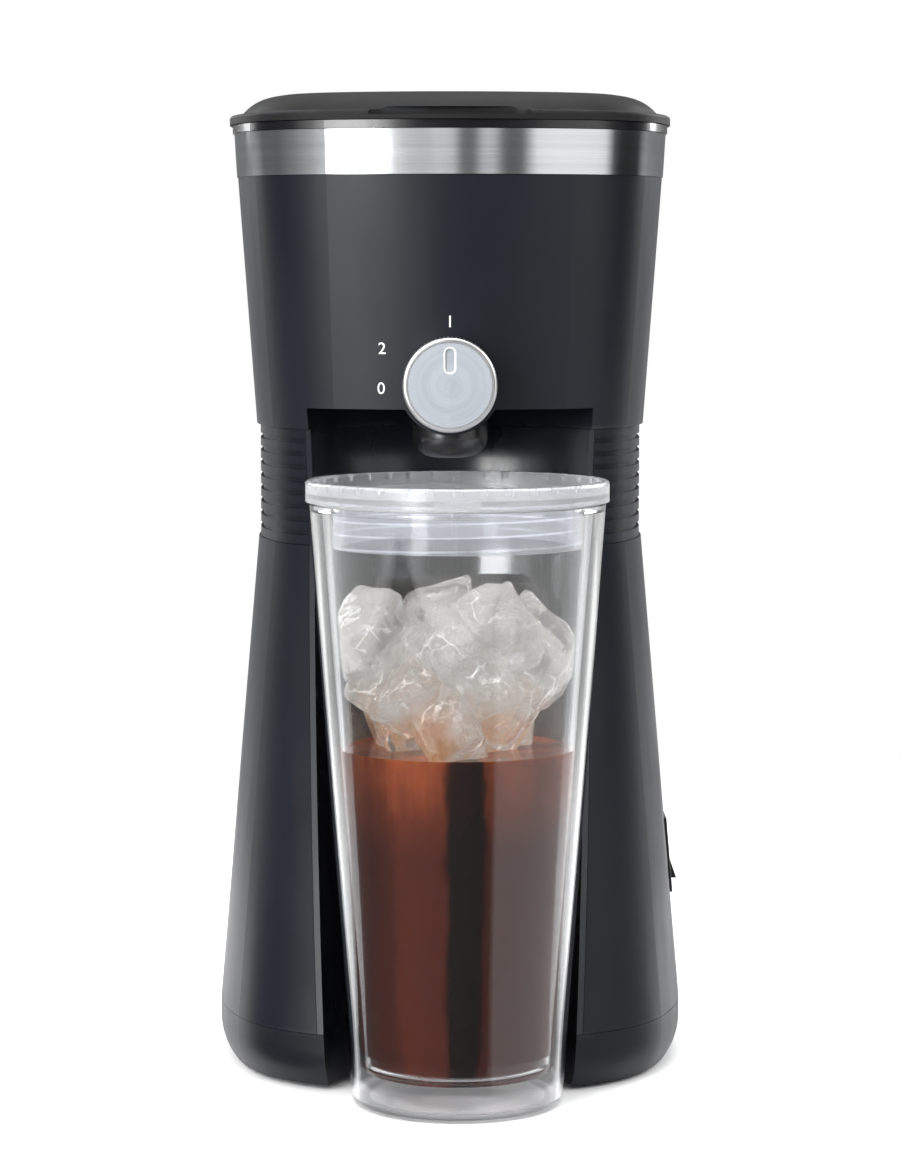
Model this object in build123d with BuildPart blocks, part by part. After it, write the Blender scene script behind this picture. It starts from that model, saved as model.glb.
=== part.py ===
from build123d import *
import os
from math import atan2, copysign, cos, degrees, hypot, radians, sin, sqrt

# Single-serve iced coffee maker with its double-wall tumbler.
# Heights are measured from the counter. Plan positions are measured from the machine's upright axis,
# with +Y to the rear, and the machine's axis stands machine_y behind the origin.

# Heights of the body's pieces, one on the other
foot_height = 1.5
trim_height = 16.4
shell_height = 147.9
collar_height = 35.4
housing_height = 76.6
band_height = 13.6
rim_height = 2.7
lid_edge_height = 2.9
dome_height = 5.8

# Half widths of the body at those seams
base_half = 73.4
collar_half = 60.0
shoulder_step = 0.6
housing_step = 1.1
housing_high_half = 66.7
band_step = 0.3
band_lean = 0.8
rim_step = 0.5
lid_overhang = 0.9
dome_step = 0.9

# Plan shape: bulging sides on long arcs, joined by corner arcs, with the rear half set back
side_center = 33.0
corner_center = 22.0
rear_stretch = 10.0
center_gap = hypot(corner_center, corner_center + side_center)
corner_angle = degrees(atan2(corner_center, corner_center + side_center))

# Walls and clearances
shell_wall = 2.5
liner_wall = 2.0
tongue_wall = 1.6
tongue_length = 4.0
seam_gap = 0.15
slip_gap = 0.3
running_gap = 0.05

# Bay for the tumbler: an upright cone, open to the front and down to the counter
bay_y = -72.2
bay_foot_gap = 6.3
bay_flange_gap = 2.545
bay_ceiling_rise = 6.4

# Base trim
trim_round = 18.2
trim_round_top = 12.0
post_radius = 4.0
post_inset = 15.9
post_web = 2.4
post_front_y = -26.0
post_rear_y = 36.0
cover_thickness = 2.2
screw_radius = 1.5
screw_head_radius = 2.8
screw_head_height = 1.8
screw_length = 11.0
foot_radius = 8.0
foot_inset = 1.5
foot_front_side_inset = 25.9
foot_front_end_inset = 32.4
foot_rear_side_inset = 30.4
foot_rear_end_inset = 17.9
vent_length = 26.0
vent_width = 2.2
vent_pitch = 6.0
vent_count = 5
vent_y = 62.0

# Collar
groove_count = 8
groove_pitch = 4.0
groove_height = 1.5
groove_depth = 0.9
collar_post_inset = 7.4
collar_post_front_y = -18.0
collar_post_rear_y = 28.0
collar_post_height = 14.0

# Upper housing
housing_floor = 2.5
band_thickness = 0.6
boss_radius = 15.7
boss_fillet = 8.0
boss_wall = 2.4
boss_tail = 5.0

# Deck, tank and brew chamber
deck_thickness = 2.0
deck_drop = 5.2
deck_inset = 2.3
deck_lip = 1.9
tank_inset = 4.3
tank_wall = 2.0
tank_front_gap = 3.0
tank_floor_gap = 8.3
strainer_radius = 10.0
strainer_height = 5.0
chamber_radius = 30.5
chamber_front_gap = 3.6
chamber_wall = 1.8
chamber_rise = 4.5
drain_radius = 3.0
drain_wall = 2.0
drain_length = 6.0
filter_gap = 0.5
filter_wall = 1.4
filter_height = 43.0
filter_flange = 2.6
filter_flange_height = 1.2
filter_ribs = 6
filter_rib_width = 3.0
filter_ring_height = 8.0
tab_width = 12.0
tab_reach = 6.0
tab_drop = 2.5
mesh_wall = 0.4

# Lid
dome_round = 14.0
lid_wall = 2.2
lid_edge_round = 1.0
scoop_width = 50.0
scoop_depth = 6.0
scoop_lip = 1.4
liner_inset = 0.8
liner_thickness = 1.8
liner_drop = 2.1
duct_width = 12.0
duct_height = 4.2
duct_wall = 1.4
duct_floor = 0.9
shower_radius = 24.0
shower_thickness = 1.2
shower_drop = 1.2
shower_hole_radius = 0.8
shower_rings = 3
shower_ring_pitch = 6.5
lid_seal_width = 2.6
lid_seal_gap = 0.6
hinge_overhang = 5.0
hinge_root = 7.0
hinge_pin_radius = 1.6
hinge_knuckle_radius = 3.5
hinge_knuckle_width = 12.0
hinge_lug_width = 5.0
hinge_x = 20.0

# Valve, nozzle and knob
knob_rise = 14.3
knob_radius = 14.1
knob_length = 13.8
knob_standoff = 1.55
knob_wall = 1.8
knob_flutes = 72
flute_radius = 0.35
face_radius = 12.6
face_thickness = 1.4
pointer_width = 3.0
pointer_length = 7.5
pointer_inset = 1.6
pointer_depth = 0.9
valve_radius = 10.0
valve_front_inset = 4.6
valve_nose = 8.5
valve_tail = 10.0
plug_radius = 6.4
plug_wall = 1.5
shaft_radius = 3.5
shaft_flat = 0.8
hub_radius = 6.0
port_radius = 2.5
strong_port_radius = 1.1
strong_angle = 62.0
socket_radius = 8.6
nozzle_radius = 11.5
nozzle_height = 12.1
nozzle_drop = 0.7
nozzle_round = 6.5
spigot_radius = 5.0
seal_section = 1.0

# Water circuit
hose_radius = 5.0
hose_bore = 3.0
hose_bend = 9.5
hose_sweep = 30.0
nipple_bore = 2.0
nipple_length = 6.0
supply_x = 30.0
supply_top_y = 45.0
supply_inset = 13.4
riser_x = -44.0
riser_y = -12.0
check_bottom = 66.0
check_height = 28.0
check_radius = 7.0
seat_rise = 8.0
ball_radius = 3.5
ball_lift = 1.5
clamp_wall = 1.2
clamp_height = 4.0
clamp_inset = 1.5
outlet_radius = 4.2
outlet_gap = 0.5
outlet_collar = 4.0

# Heater
heater_y = 14.0
heater_leg_x = 30.0
heater_leg_gap = 16.0
heater_width = 16.0
heater_bottom = 22.0
heater_height = 24.0
water_tube_rise = 16.5
element_rise = 5.5
element_radius = 3.3
element_overhang = 9.0
bracket_thickness = 1.2
bracket_width = 16.0
bracket_reach = 44.0
thermostat_radius = 8.0
thermostat_height = 6.0
thermostat_y = -16.0
thermostat_spade_width = 4.8
thermostat_spade_x = 4.0
fuse_radius = 2.0
fuse_length = 12.0
fuse_y = 26.0
clip_wall = 0.8
clip_length = 6.0
wire_radius = 1.1
wire_bend = 3.5

# Rocker switch and cord inlet
switch_height = 62.5
switch_y = 5.0
bezel_width = 16.0
bezel_length = 24.0
bezel_proud = 0.8
switch_width = 13.6
switch_length = 20.4
switch_depth = 15.0
rocker_width = 11.2
rocker_length = 17.2
rocker_tilt = 7.0
rocker_pivot_depth = 3.0
rocker_pocket_depth = 9.0
rocker_pin_radius = 1.0
rocker_side_gap = 0.35
rocker_end_gap = 1.0
spade_width = 6.3
spade_length = 8.0
spade_thickness = 0.8
inlet_height = 32.0
inlet_radius = 3.7
gland_radius = 6.5
gland_flange_radius = 9.0
gland_flange = 2.5
gland_length = 14.0

# Tumbler
tumbler_x = 2.2
tumbler_forward = 2.8
tumbler_gap = 5.3
tumbler_foot_radius = 31.7
tumbler_mouth_radius = 44.2
tumbler_wall = 1.8
tumbler_air = 1.9
tumbler_base_gap = 8.2
tumbler_foot_round = 2.6
tumbler_foot_recess = 0.8
tumbler_floor_round = 2.0
lid_flange_overhang = 1.0
lid_flange_height = 6.2
lid_flange_wall = 2.7
lid_flange_round = 1.0
tumbler_seal_height = 0.8
skirt_gap = 0.8
skirt_wall = 2.2
skirt_length = 12.5
thread_ridges = 3
thread_pitch = 4.0
thread_depth = 0.4
thread_width = 1.3
cup_lid_recess = 3.6
cup_lid_plate = 2.0
grip_notches = 36
grip_notch_radius = 1.2
grip_notch_depth = 2.2
straw_radius = 5.0

# Half widths and places that follow their neighbours
shoulder_half = collar_half + shoulder_step
housing_low_half = collar_half + housing_step
band_low_half = housing_high_half + band_step
band_high_half = band_low_half + band_lean
rim_half = band_high_half + rim_step
lid_half = rim_half + lid_overhang
dome_half = lid_half - dome_step
deck_half = housing_high_half - deck_inset
deck_open_half = deck_half - deck_lip
liner_half = deck_open_half - liner_inset
tank_half = housing_low_half - tank_inset
collar_post_x = collar_half - collar_post_inset
brew_y = chamber_radius + chamber_front_gap - housing_low_half
tank_front_y = brew_y + chamber_radius + tank_front_gap
valve_front_y = valve_front_inset - housing_low_half
valve_y = valve_front_y + valve_nose
valve_rear_y = valve_y + valve_tail
boss_rear_y = valve_rear_y + boss_tail
supply_low_y = base_half - supply_inset
heater_leg_end = supply_low_y - heater_leg_gap
tumbler_y = bay_y - tumbler_forward
lid_flange_radius = tumbler_mouth_radius + lid_flange_overhang
bay_counter_radius = tumbler_foot_radius + bay_foot_gap

# Heights of the seams, and of what hangs from them or stands on them
base_seam = foot_height + trim_height
collar_bottom = base_seam + shell_height
collar_top = collar_bottom + collar_height
band_bottom = collar_top + housing_height
band_top = band_bottom + band_height
lid_seam = band_top + rim_height
lid_edge_top = lid_seam + lid_edge_height
lid_top = lid_edge_top + dome_height
bay_ceiling = collar_top + bay_ceiling_rise
deck_height = band_top - deck_drop
tank_bottom = collar_top + housing_floor + tank_floor_gap
liner_height = lid_seam - liner_drop
outlet_top = liner_height - outlet_gap
knob_height = collar_top + knob_rise
chamber_bottom = knob_height + valve_radius + chamber_rise
nozzle_top = knob_height - valve_radius - nozzle_drop
nozzle_bottom = nozzle_top - nozzle_height
flange_top_height = nozzle_bottom - tumbler_gap
tumbler_top = flange_top_height - lid_flange_height - tumbler_seal_height
bay_flare = (lid_flange_radius + bay_flange_gap - bay_counter_radius) / flange_top_height
water_tube_height = heater_bottom + water_tube_rise
element_height = heater_bottom + element_rise

# Where the machine stands, so that the origin is under the middle of the whole footprint
hinge_y = rim_half + rear_stretch + hinge_overhang
rear_reach = hinge_y + hinge_knuckle_radius
front_reach = lid_flange_radius - tumbler_y
machine_y = (front_reach - rear_reach) / 2


def level(height, x=0.0, y=0.0):
    """Horizontal sketch plane at a height, centred on a place in the machine's plan."""
    return Plane((x, machine_y + y, height))


def upright(x=0.0, y=0.0, height=0.0):
    """Upright sketch plane that faces the front, with its own y axis pointing up."""
    return Plane(origin=(x, machine_y + y, height), x_dir=(1, 0, 0), z_dir=(0, -1, 0))


def sideways(x=0.0):
    """Upright sketch plane across the machine, with its own axes along Y and Z."""
    return Plane(origin=(x, machine_y, 0), x_dir=(0, 1, 0), z_dir=(1, 0, 0))


def outline(half_width):
    """Draw the body's plan shape. Every level has the same arc centres, so walls are of even thickness."""
    side_radius = half_width + side_center
    corner_radius = side_radius - center_gap
    corner_sweep = 90 - 2 * corner_angle
    with BuildLine() as edge:
        CenterArc((0, side_center), side_radius, 270 - corner_angle, 2 * corner_angle)
        CenterArc((0, rear_stretch - side_center), side_radius, 90 - corner_angle, 2 * corner_angle)
        CenterArc((corner_center, -corner_center), corner_radius, 270 + corner_angle, corner_sweep)
        CenterArc((-corner_center, -corner_center), corner_radius, 180 + corner_angle, corner_sweep)
        rear_center = rear_stretch + corner_center
        CenterArc((corner_center, rear_center), corner_radius, corner_angle, corner_sweep)
        CenterArc((-corner_center, rear_center), corner_radius, 90 + corner_angle, corner_sweep)
        CenterArc((-side_center, 0), side_radius, -corner_angle, corner_angle)
        CenterArc((-side_center, rear_stretch), side_radius, 0, corner_angle)
        CenterArc((side_center, 0), side_radius, 180, corner_angle)
        CenterArc((side_center, rear_stretch), side_radius, 180 - corner_angle, corner_angle)
        Line((half_width, 0), (half_width, rear_stretch))
        Line((-half_width, 0), (-half_width, rear_stretch))
    make_face(edge.edges())


def block(bottom, top, low_half, high_half, mode=Mode.ADD):
    """Prism of the body's outline between two heights, leaning in or out with its two half widths."""
    with BuildSketch(level(bottom)) as footprint:
        outline(low_half)
    lean = degrees(atan2(low_half - high_half, top - bottom))
    extrude(footprint.sketch, amount=top - bottom, taper=lean, mode=mode)


def disc(radius, bottom, top, x=0.0, y=0.0, mode=Mode.ADD):
    """Upright round solid between two heights."""
    with Locations(level(bottom, x, y)):
        Cylinder(radius, top - bottom, align=(Align.CENTER, Align.CENTER, Align.MIN), mode=mode)


def slab(width, depth, bottom, top, x=0.0, y=0.0, mode=Mode.ADD):
    """Upright box between two heights, centred on a place in plan."""
    with Locations(level(bottom, x, y)):
        Box(width, depth, top - bottom, align=(Align.CENTER, Align.CENTER, Align.MIN), mode=mode)


def rod(radius, front, rear, height, x=0.0, mode=Mode.ADD):
    """Round solid along Y between two places in plan."""
    with Locations(upright(x, rear, height)):
        Cylinder(radius, rear - front, align=(Align.CENTER, Align.CENTER, Align.MIN), mode=mode)


def cross_rod(radius, length, x, y, height, mode=Mode.ADD):
    """Round solid along X, centred on a place."""
    with Locations(Plane(origin=(x, machine_y + y, height), z_dir=(1, 0, 0))):
        Cylinder(radius, length, mode=mode)


def turn(points, x=0.0, y=0.0, mode=Mode.ADD):
    """Solid turned about an upright axis from a profile of (radius, height) points."""
    with BuildSketch(upright(x, y)) as section:
        with BuildLine() as edge:
            Polyline(*points, close=True)
        make_face(edge.edges())
    revolve(section.sketch, axis=Axis((x, machine_y + y, 0), (0, 0, 1)), mode=mode)


def pipe(points, radii, radius, mode=Mode.ADD):
    """Round solid along straight runs joined by arcs, through points in the machine's plan."""
    places = [(x, machine_y + y, z) for x, y, z in points]
    with BuildLine() as path:
        FilletPolyline(*places, radius=radii)
    with BuildSketch(Plane(origin=path.line @ 0, z_dir=path.line % 0)) as section:
        Circle(radius)
    sweep(section.sketch, path=path.line, mode=mode)


def hose(points, radii):
    """Hose with its bore along straight runs joined by arcs."""
    pipe(points, radii, hose_radius)
    pipe(points, radii, hose_bore, Mode.SUBTRACT)


def dome(half, round_radius, top, foot):
    """Piece of the lid's dome above a height."""
    with BuildPart() as cap:
        block(foot - round_radius, top, half, half)
        fillet(cap.faces().sort_by(Axis.Z)[-1].edges(), round_radius)
        split(bisect_by=Plane.XY.offset(foot), keep=Keep.TOP)
    return cap.part


def bay_radius(height):
    """Radius of the bay's wall at a height."""
    return bay_counter_radius + bay_flare * height


def bay_cone(bottom, top, outset=0.0, mode=Mode.ADD):
    """Cone of the bay between two heights, widened by an outset."""
    with Locations(level(bottom, y=bay_y)):
        Cone(
            bay_radius(bottom) + outset,
            bay_radius(top) + outset,
            top - bottom,
            align=(Align.CENTER, Align.CENTER, Align.MIN),
            mode=mode,
        )


def between(low, high, low_value, high_value, height):
    """Value at a height on a straight slope."""
    return low_value + (high_value - low_value) * (height - low) / (high - low)


def lower_half_at(height):
    """Half width of the lower body at a height."""
    return between(base_seam, collar_bottom, base_half, shoulder_half, height)


def housing_half_at(height):
    """Half width of the upper housing at a height."""
    return between(collar_top, band_bottom, housing_low_half, housing_high_half, height)


def finish(piece, name):
    """Name a finished piece and write its file."""
    piece.part.label = name
    export_step(piece.part, f"parts/{name}.step")


os.makedirs("parts", exist_ok=True)
post_x = base_half - post_inset
trim_posts = [(s * post_x, y) for s in (-1, 1) for y in (post_front_y, post_rear_y)]
collar_posts = [(s * collar_post_x, y) for s in (-1, 1) for y in (collar_post_front_y, collar_post_rear_y)]
foot_front = (base_half - foot_front_side_inset, foot_front_end_inset - base_half)
foot_rear = (base_half - foot_rear_side_inset, base_half - foot_rear_end_inset)
foot_places = [(s * x, y) for x, y in (foot_front, foot_rear) for s in (-1, 1)]
trim_top = base_seam - seam_gap
cover_top = foot_height + cover_thickness
nipple_radius = hose_bore - running_gap


# Base trim: a rounded ring with the bay's foot, four screw posts and a tongue inside the lower shell
tongue_half = lower_half_at(base_seam + tongue_length) - shell_wall - slip_gap
with BuildPart() as trim_hollow:
    with BuildSketch(level(trim_round_top - trim_round + shell_wall)):
        outline(base_half - shell_wall)
    extrude(amount=trim_top - trim_round_top + trim_round - shell_wall + slip_gap)
    fillet(trim_hollow.faces().sort_by(Axis.Z)[0].edges(), trim_round - shell_wall)
    split(bisect_by=Plane.XY.offset(foot_height - slip_gap), keep=Keep.TOP)
    bay_cone(0, base_seam + slip_gap, liner_wall, Mode.SUBTRACT)

with BuildPart() as trim_tongue:
    block(trim_top - tongue_wall, trim_top, base_half - shell_wall / 2, base_half - shell_wall / 2)
    block(trim_top - tongue_wall, base_seam + tongue_length, tongue_half, tongue_half)
    inner_half = tongue_half - tongue_wall
    block(trim_top - tongue_wall, base_seam + tongue_length, inner_half, inner_half, Mode.SUBTRACT)
    bay_cone(0, trim_top, liner_wall / 2, Mode.SUBTRACT)
    bay_cone(trim_top, base_seam + tongue_length, liner_wall + slip_gap, Mode.SUBTRACT)

with BuildPart() as base_trim:
    with BuildSketch(level(trim_round_top - trim_round)):
        outline(base_half)
    extrude(amount=trim_top - trim_round_top + trim_round)
    fillet(base_trim.faces().sort_by(Axis.Z)[0].edges(), trim_round)
    split(bisect_by=Plane.XY.offset(foot_height), keep=Keep.TOP)
    bay_cone(0, base_seam, mode=Mode.SUBTRACT)
    add(trim_hollow.part, mode=Mode.SUBTRACT)
    add(trim_tongue.part)
    for x, y in trim_posts:
        web_end = copysign(tongue_half - shell_wall - tongue_wall, x)
        slab(abs(web_end - x), post_web, cover_top + slip_gap, trim_top - tongue_wall, (x + web_end) / 2, y)
        disc(post_radius, cover_top + slip_gap, trim_top, x, y)
        disc(screw_radius + running_gap, 0, trim_top, x, y, Mode.SUBTRACT)
finish(base_trim, "base_trim")

# Bottom cover: vented plate inside the trim, with countersunk screw holes and seats for the feet
cover_half = base_half - shell_wall - slip_gap - (
    trim_round - shell_wall - sqrt((trim_round - shell_wall) ** 2 - (trim_round_top - foot_height) ** 2)
)
with BuildPart() as bottom_cover:
    block(foot_height, cover_top, cover_half, cover_half)
    bay_cone(0, base_seam, liner_wall + slip_gap, Mode.SUBTRACT)
    for x, y in trim_posts:
        disc(screw_radius + slip_gap, 0, cover_top, x, y, Mode.SUBTRACT)
        disc(screw_head_radius + slip_gap, 0, foot_height + screw_head_height, x, y, Mode.SUBTRACT)
    for x, y in foot_places:
        disc(foot_radius + seam_gap, 0, foot_height + foot_inset / 2, x, y, Mode.SUBTRACT)
    for step in range(vent_count):
        vent_row = vent_y - vent_pitch * step
        slab(vent_length, vent_width, 0, cover_top, 0, vent_row, Mode.SUBTRACT)
finish(bottom_cover, "bottom_cover")

# Four rubber feet, seated in the bottom cover
with BuildPart() as feet:
    for x, y in foot_places:
        disc(foot_radius, 0, foot_height + foot_inset / 2 - running_gap, x, y)
finish(feet, "feet")

# Screws that hold the bottom cover to the trim's posts
with BuildPart() as base_screws:
    for x, y in trim_posts:
        screw_seat = foot_height + screw_head_height
        disc(screw_head_radius, foot_height + seam_gap, screw_seat - running_gap, x, y)
        disc(screw_radius, foot_height + seam_gap, screw_seat + screw_length, x, y)
finish(base_screws, "base_screws")

# Lower shell: flared skin, open at the bay, with cut-outs for the switch and the cord inlet
switch_lean = atan2(base_half - shoulder_half, collar_bottom - base_seam)
switch_plane = Plane(
    origin=(lower_half_at(switch_height), machine_y + switch_y, switch_height),
    x_dir=(0, 1, 0),
    z_dir=(cos(switch_lean), 0, sin(switch_lean)),
)
inlet_y = lower_half_at(inlet_height + gland_flange_radius) + rear_stretch
with BuildPart() as lower_shell:
    shell_top = collar_bottom - seam_gap
    block(base_seam, shell_top, base_half, shoulder_half)
    block(base_seam, shell_top, base_half - shell_wall, shoulder_half - shell_wall, Mode.SUBTRACT)
    bay_cone(base_seam - 1, collar_bottom, liner_wall + seam_gap, Mode.SUBTRACT)
    with Locations(switch_plane):
        Box(switch_width + slip_gap, switch_length + slip_gap, 4 * shell_wall, mode=Mode.SUBTRACT)
    rod(gland_radius + running_gap, inlet_y - 3 * shell_wall, inlet_y, inlet_height, mode=Mode.SUBTRACT)
    rod(gland_flange_radius + slip_gap, inlet_y, inlet_y + shell_wall, inlet_height, mode=Mode.SUBTRACT)
finish(lower_shell, "lower_shell")

# Ribbed collar: grooved ring with screw posts above and a tongue inside the lower shell
collar_top_face = collar_top - seam_gap
collar_tongue_half = shoulder_half - shell_wall - slip_gap
collar_inner_half = collar_tongue_half - tongue_wall
first_groove = (collar_bottom + collar_top - groove_pitch * (groove_count - 1) - groove_height) / 2
with BuildPart() as collar_tongue:
    root_half = collar_half - shell_wall / 2
    block(collar_bottom, collar_bottom + tongue_wall, root_half, root_half)
    block(collar_bottom - tongue_length, collar_bottom, collar_tongue_half, collar_tongue_half)
    block(
        collar_bottom - tongue_length,
        collar_bottom + tongue_wall,
        collar_inner_half,
        collar_inner_half,
        Mode.SUBTRACT,
    )

with BuildPart() as collar_grooves:
    for step in range(groove_count):
        groove_foot = first_groove + groove_pitch * step
        block(groove_foot, groove_foot + groove_height, collar_half + shell_wall, collar_half + shell_wall)
    block(collar_bottom, collar_top, collar_half - groove_depth, collar_half - groove_depth, Mode.SUBTRACT)

with BuildPart() as rib_collar:
    block(collar_bottom, collar_top_face, collar_half, collar_half)
    collar_hollow_half = collar_half - shell_wall
    block(collar_bottom, collar_top_face, collar_hollow_half, collar_hollow_half, Mode.SUBTRACT)
    add(collar_grooves.part, mode=Mode.SUBTRACT)
    add(collar_tongue.part)
    for x, y in collar_posts:
        disc(post_radius, collar_top_face - collar_post_height, collar_top_face, x, y)
        disc(screw_radius + running_gap, collar_bottom, collar_top_face, x, y, Mode.SUBTRACT)
    bay_cone(collar_bottom - 2 * tongue_length, collar_top, liner_wall + seam_gap, Mode.SUBTRACT)
finish(rib_collar, "rib_collar")

# Bay liner: the bay's curved wall, with its front edges flush with the lower shell and the collar
with BuildPart() as bay_liner:
    block(base_seam, collar_bottom, base_half, shoulder_half)
    block(collar_bottom, collar_top_face, collar_half, collar_half)
    bay_cone(base_seam, collar_top_face, liner_wall, Mode.INTERSECT)
    bay_cone(base_seam, collar_top_face, 0, Mode.SUBTRACT)
finish(bay_liner, "bay_liner")

# Upper housing: leaning skin over a floor, with the arch's ceiling over the bay and the valve's boss
housing_inner_low = housing_half_at(collar_top + housing_floor) - shell_wall
housing_inner_high = housing_half_at(band_top) - shell_wall
band_seat_low = band_low_half - band_thickness - running_gap
band_seat_high = band_high_half - band_thickness - running_gap
boss_front_y = -(housing_half_at(knob_height) - shell_wall)
knob_back_y = -(housing_half_at(knob_height) + knob_standoff)
knob_front_y = knob_back_y - knob_length
with BuildPart() as arch_hood:
    block(collar_top, band_bottom, housing_low_half, housing_high_half)
    bay_cone(collar_top, bay_ceiling + housing_floor, housing_floor, Mode.INTERSECT)

with BuildSketch(upright(0, boss_rear_y)) as boss_face:
    with Locations((0, knob_height)):
        Circle(boss_radius)
    with Locations((0, bay_ceiling + housing_floor / 2)):
        Rectangle(4 * boss_radius, housing_floor)
    corners = boss_face.vertices().filter_by(lambda v: abs(v.Z - bay_ceiling) < 0.01)
    fillet(corners.filter_by(lambda v: abs(v.X) < boss_radius), boss_fillet)

with BuildPart() as valve_boss:
    boss_foot = collar_top - boss_radius
    block(boss_foot, band_bottom, housing_half_at(boss_foot), housing_high_half)
    extrude(boss_face.sketch, amount=2 * boss_radius + abs(boss_rear_y), mode=Mode.INTERSECT)

with BuildPart() as upper_housing:
    block(collar_top, band_bottom, housing_low_half, housing_high_half)
    block(band_bottom, band_top, band_seat_low, band_seat_high)
    block(collar_top + housing_floor, band_top, housing_inner_low, housing_inner_high, Mode.SUBTRACT)
    add(arch_hood.part)
    bay_cone(collar_top - 1, bay_ceiling, 0, Mode.SUBTRACT)
    add(valve_boss.part)
    block(knob_height, band_top, -boss_front_y, housing_inner_high, Mode.SUBTRACT)
    rod(boss_radius - boss_wall, boss_front_y, boss_rear_y, knob_height, mode=Mode.SUBTRACT)
    rod(shaft_radius + slip_gap, knob_back_y, boss_front_y + slip_gap, knob_height, mode=Mode.SUBTRACT)
    disc(nozzle_radius + slip_gap, nozzle_bottom, knob_height, 0, valve_y, Mode.SUBTRACT)
    disc(hose_radius + 1, collar_top, tank_bottom, supply_x, supply_top_y, Mode.SUBTRACT)
    disc(hose_radius + 1, collar_top, tank_bottom, riser_x, riser_y, Mode.SUBTRACT)
    for x, y in collar_posts:
        disc(screw_radius + slip_gap, collar_top, tank_bottom, x, y, Mode.SUBTRACT)
finish(upper_housing, "upper_housing")

# Screws from the housing's floor into the collar's posts
with BuildPart() as housing_screws:
    for x, y in collar_posts:
        floor_top = collar_top + housing_floor
        disc(screw_head_radius, floor_top + running_gap, floor_top + screw_head_height, x, y)
        disc(screw_radius, floor_top - screw_length, floor_top + screw_head_height, x, y)
finish(housing_screws, "housing_screws")

# Stainless band, let into the top of the housing
with BuildPart() as metal_band:
    block(band_bottom + seam_gap, band_top, band_low_half, band_high_half)
    bore_low, bore_high = band_low_half - band_thickness, band_high_half - band_thickness
    block(band_bottom, band_top, bore_low, bore_high, Mode.SUBTRACT)
finish(metal_band, "metal_band")

# Top deck: the black rim under the lid, the deck plate with its mouths, and the lid's rear hinge lugs
chamber_bore = chamber_radius - chamber_wall
deck_top = deck_height + deck_thickness
lug_offset = (hinge_knuckle_width + hinge_lug_width) / 2 + slip_gap
lug_places = [s * (hinge_x + t * lug_offset) for s in (-1, 1) for t in (-1, 1)]
with BuildPart() as deck_lugs:
    for x in lug_places:
        lug_root = rim_half + rear_stretch - hinge_root
        with BuildSketch(sideways(x - hinge_lug_width / 2)) as lug:
            with Locations((hinge_y, lid_seam)):
                Circle(hinge_knuckle_radius)
            with BuildLine() as lug_edge:
                Polyline(
                    (lug_root, band_top + seam_gap),
                    (rim_half + rear_stretch, band_top + seam_gap),
                    (hinge_y, lid_seam - hinge_knuckle_radius),
                    (hinge_y, lid_seam - seam_gap),
                    (lug_root, lid_seam - seam_gap),
                    close=True,
                )
            make_face(lug_edge.edges())
        extrude(lug.sketch, amount=hinge_lug_width)
    cross_rod(hinge_pin_radius, 4 * hinge_x, 0, hinge_y, lid_seam, Mode.SUBTRACT)

with BuildPart() as top_deck:
    block(deck_height, band_top + seam_gap, deck_half, deck_half)
    block(band_top + seam_gap, lid_seam - seam_gap, rim_half, rim_half)
    add(deck_lugs.part)
    block(deck_top, lid_seam, deck_open_half, deck_open_half, Mode.SUBTRACT)
    with BuildSketch(level(deck_height)) as tank_mouth:
        outline(tank_half - tank_wall)
        with Locations((0, tank_front_y + tank_wall - base_half)):
            Rectangle(4 * base_half, 2 * base_half, mode=Mode.SUBTRACT)
    extrude(tank_mouth.sketch, amount=deck_thickness, mode=Mode.SUBTRACT)
    disc(chamber_bore, deck_height, deck_top, 0, brew_y, Mode.SUBTRACT)
    disc(outlet_radius + running_gap, deck_height, deck_top, riser_x, riser_y, Mode.SUBTRACT)
finish(top_deck, "top_deck")

# Pins of the lid's two hinges
with BuildPart() as hinge_pins:
    for side in (-1, 1):
        pin_length = hinge_knuckle_width + 2 * (hinge_lug_width + slip_gap)
        cross_rod(hinge_pin_radius - running_gap, pin_length, side * hinge_x, hinge_y, lid_seam)
finish(hinge_pins, "hinge_pins")

# Water tank behind the brew chamber, hung under the deck
tank_top = deck_height - seam_gap
with BuildPart() as water_tank:
    with BuildSketch(level(tank_bottom)) as tank_plan:
        outline(tank_half)
        with Locations((0, tank_front_y - base_half)):
            Rectangle(4 * base_half, 2 * base_half, mode=Mode.SUBTRACT)
    extrude(tank_plan.sketch, amount=tank_top - tank_bottom)
    with BuildSketch(level(tank_bottom + tank_wall)) as tank_inside:
        outline(tank_half - tank_wall)
        with Locations((0, tank_front_y + tank_wall - base_half)):
            Rectangle(4 * base_half, 2 * base_half, mode=Mode.SUBTRACT)
    extrude(tank_inside.sketch, amount=tank_top - tank_bottom, mode=Mode.SUBTRACT)
    spigot_foot = tank_bottom - nipple_length
    disc(nipple_radius, spigot_foot, tank_bottom, supply_x, supply_top_y)
    disc(nipple_bore, spigot_foot, tank_bottom + tank_wall, supply_x, supply_top_y, Mode.SUBTRACT)
finish(water_tank, "water_tank")

# Strainer over the tank's outlet
strainer_foot = tank_bottom + tank_wall + running_gap
strainer_top = strainer_foot + strainer_height
with BuildPart() as tank_strainer:
    disc(strainer_radius, strainer_foot, strainer_top, supply_x, supply_top_y)
    disc(strainer_radius - mesh_wall, strainer_foot, strainer_top - mesh_wall,
         supply_x, supply_top_y, Mode.SUBTRACT)
finish(tank_strainer, "tank_strainer")

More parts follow.
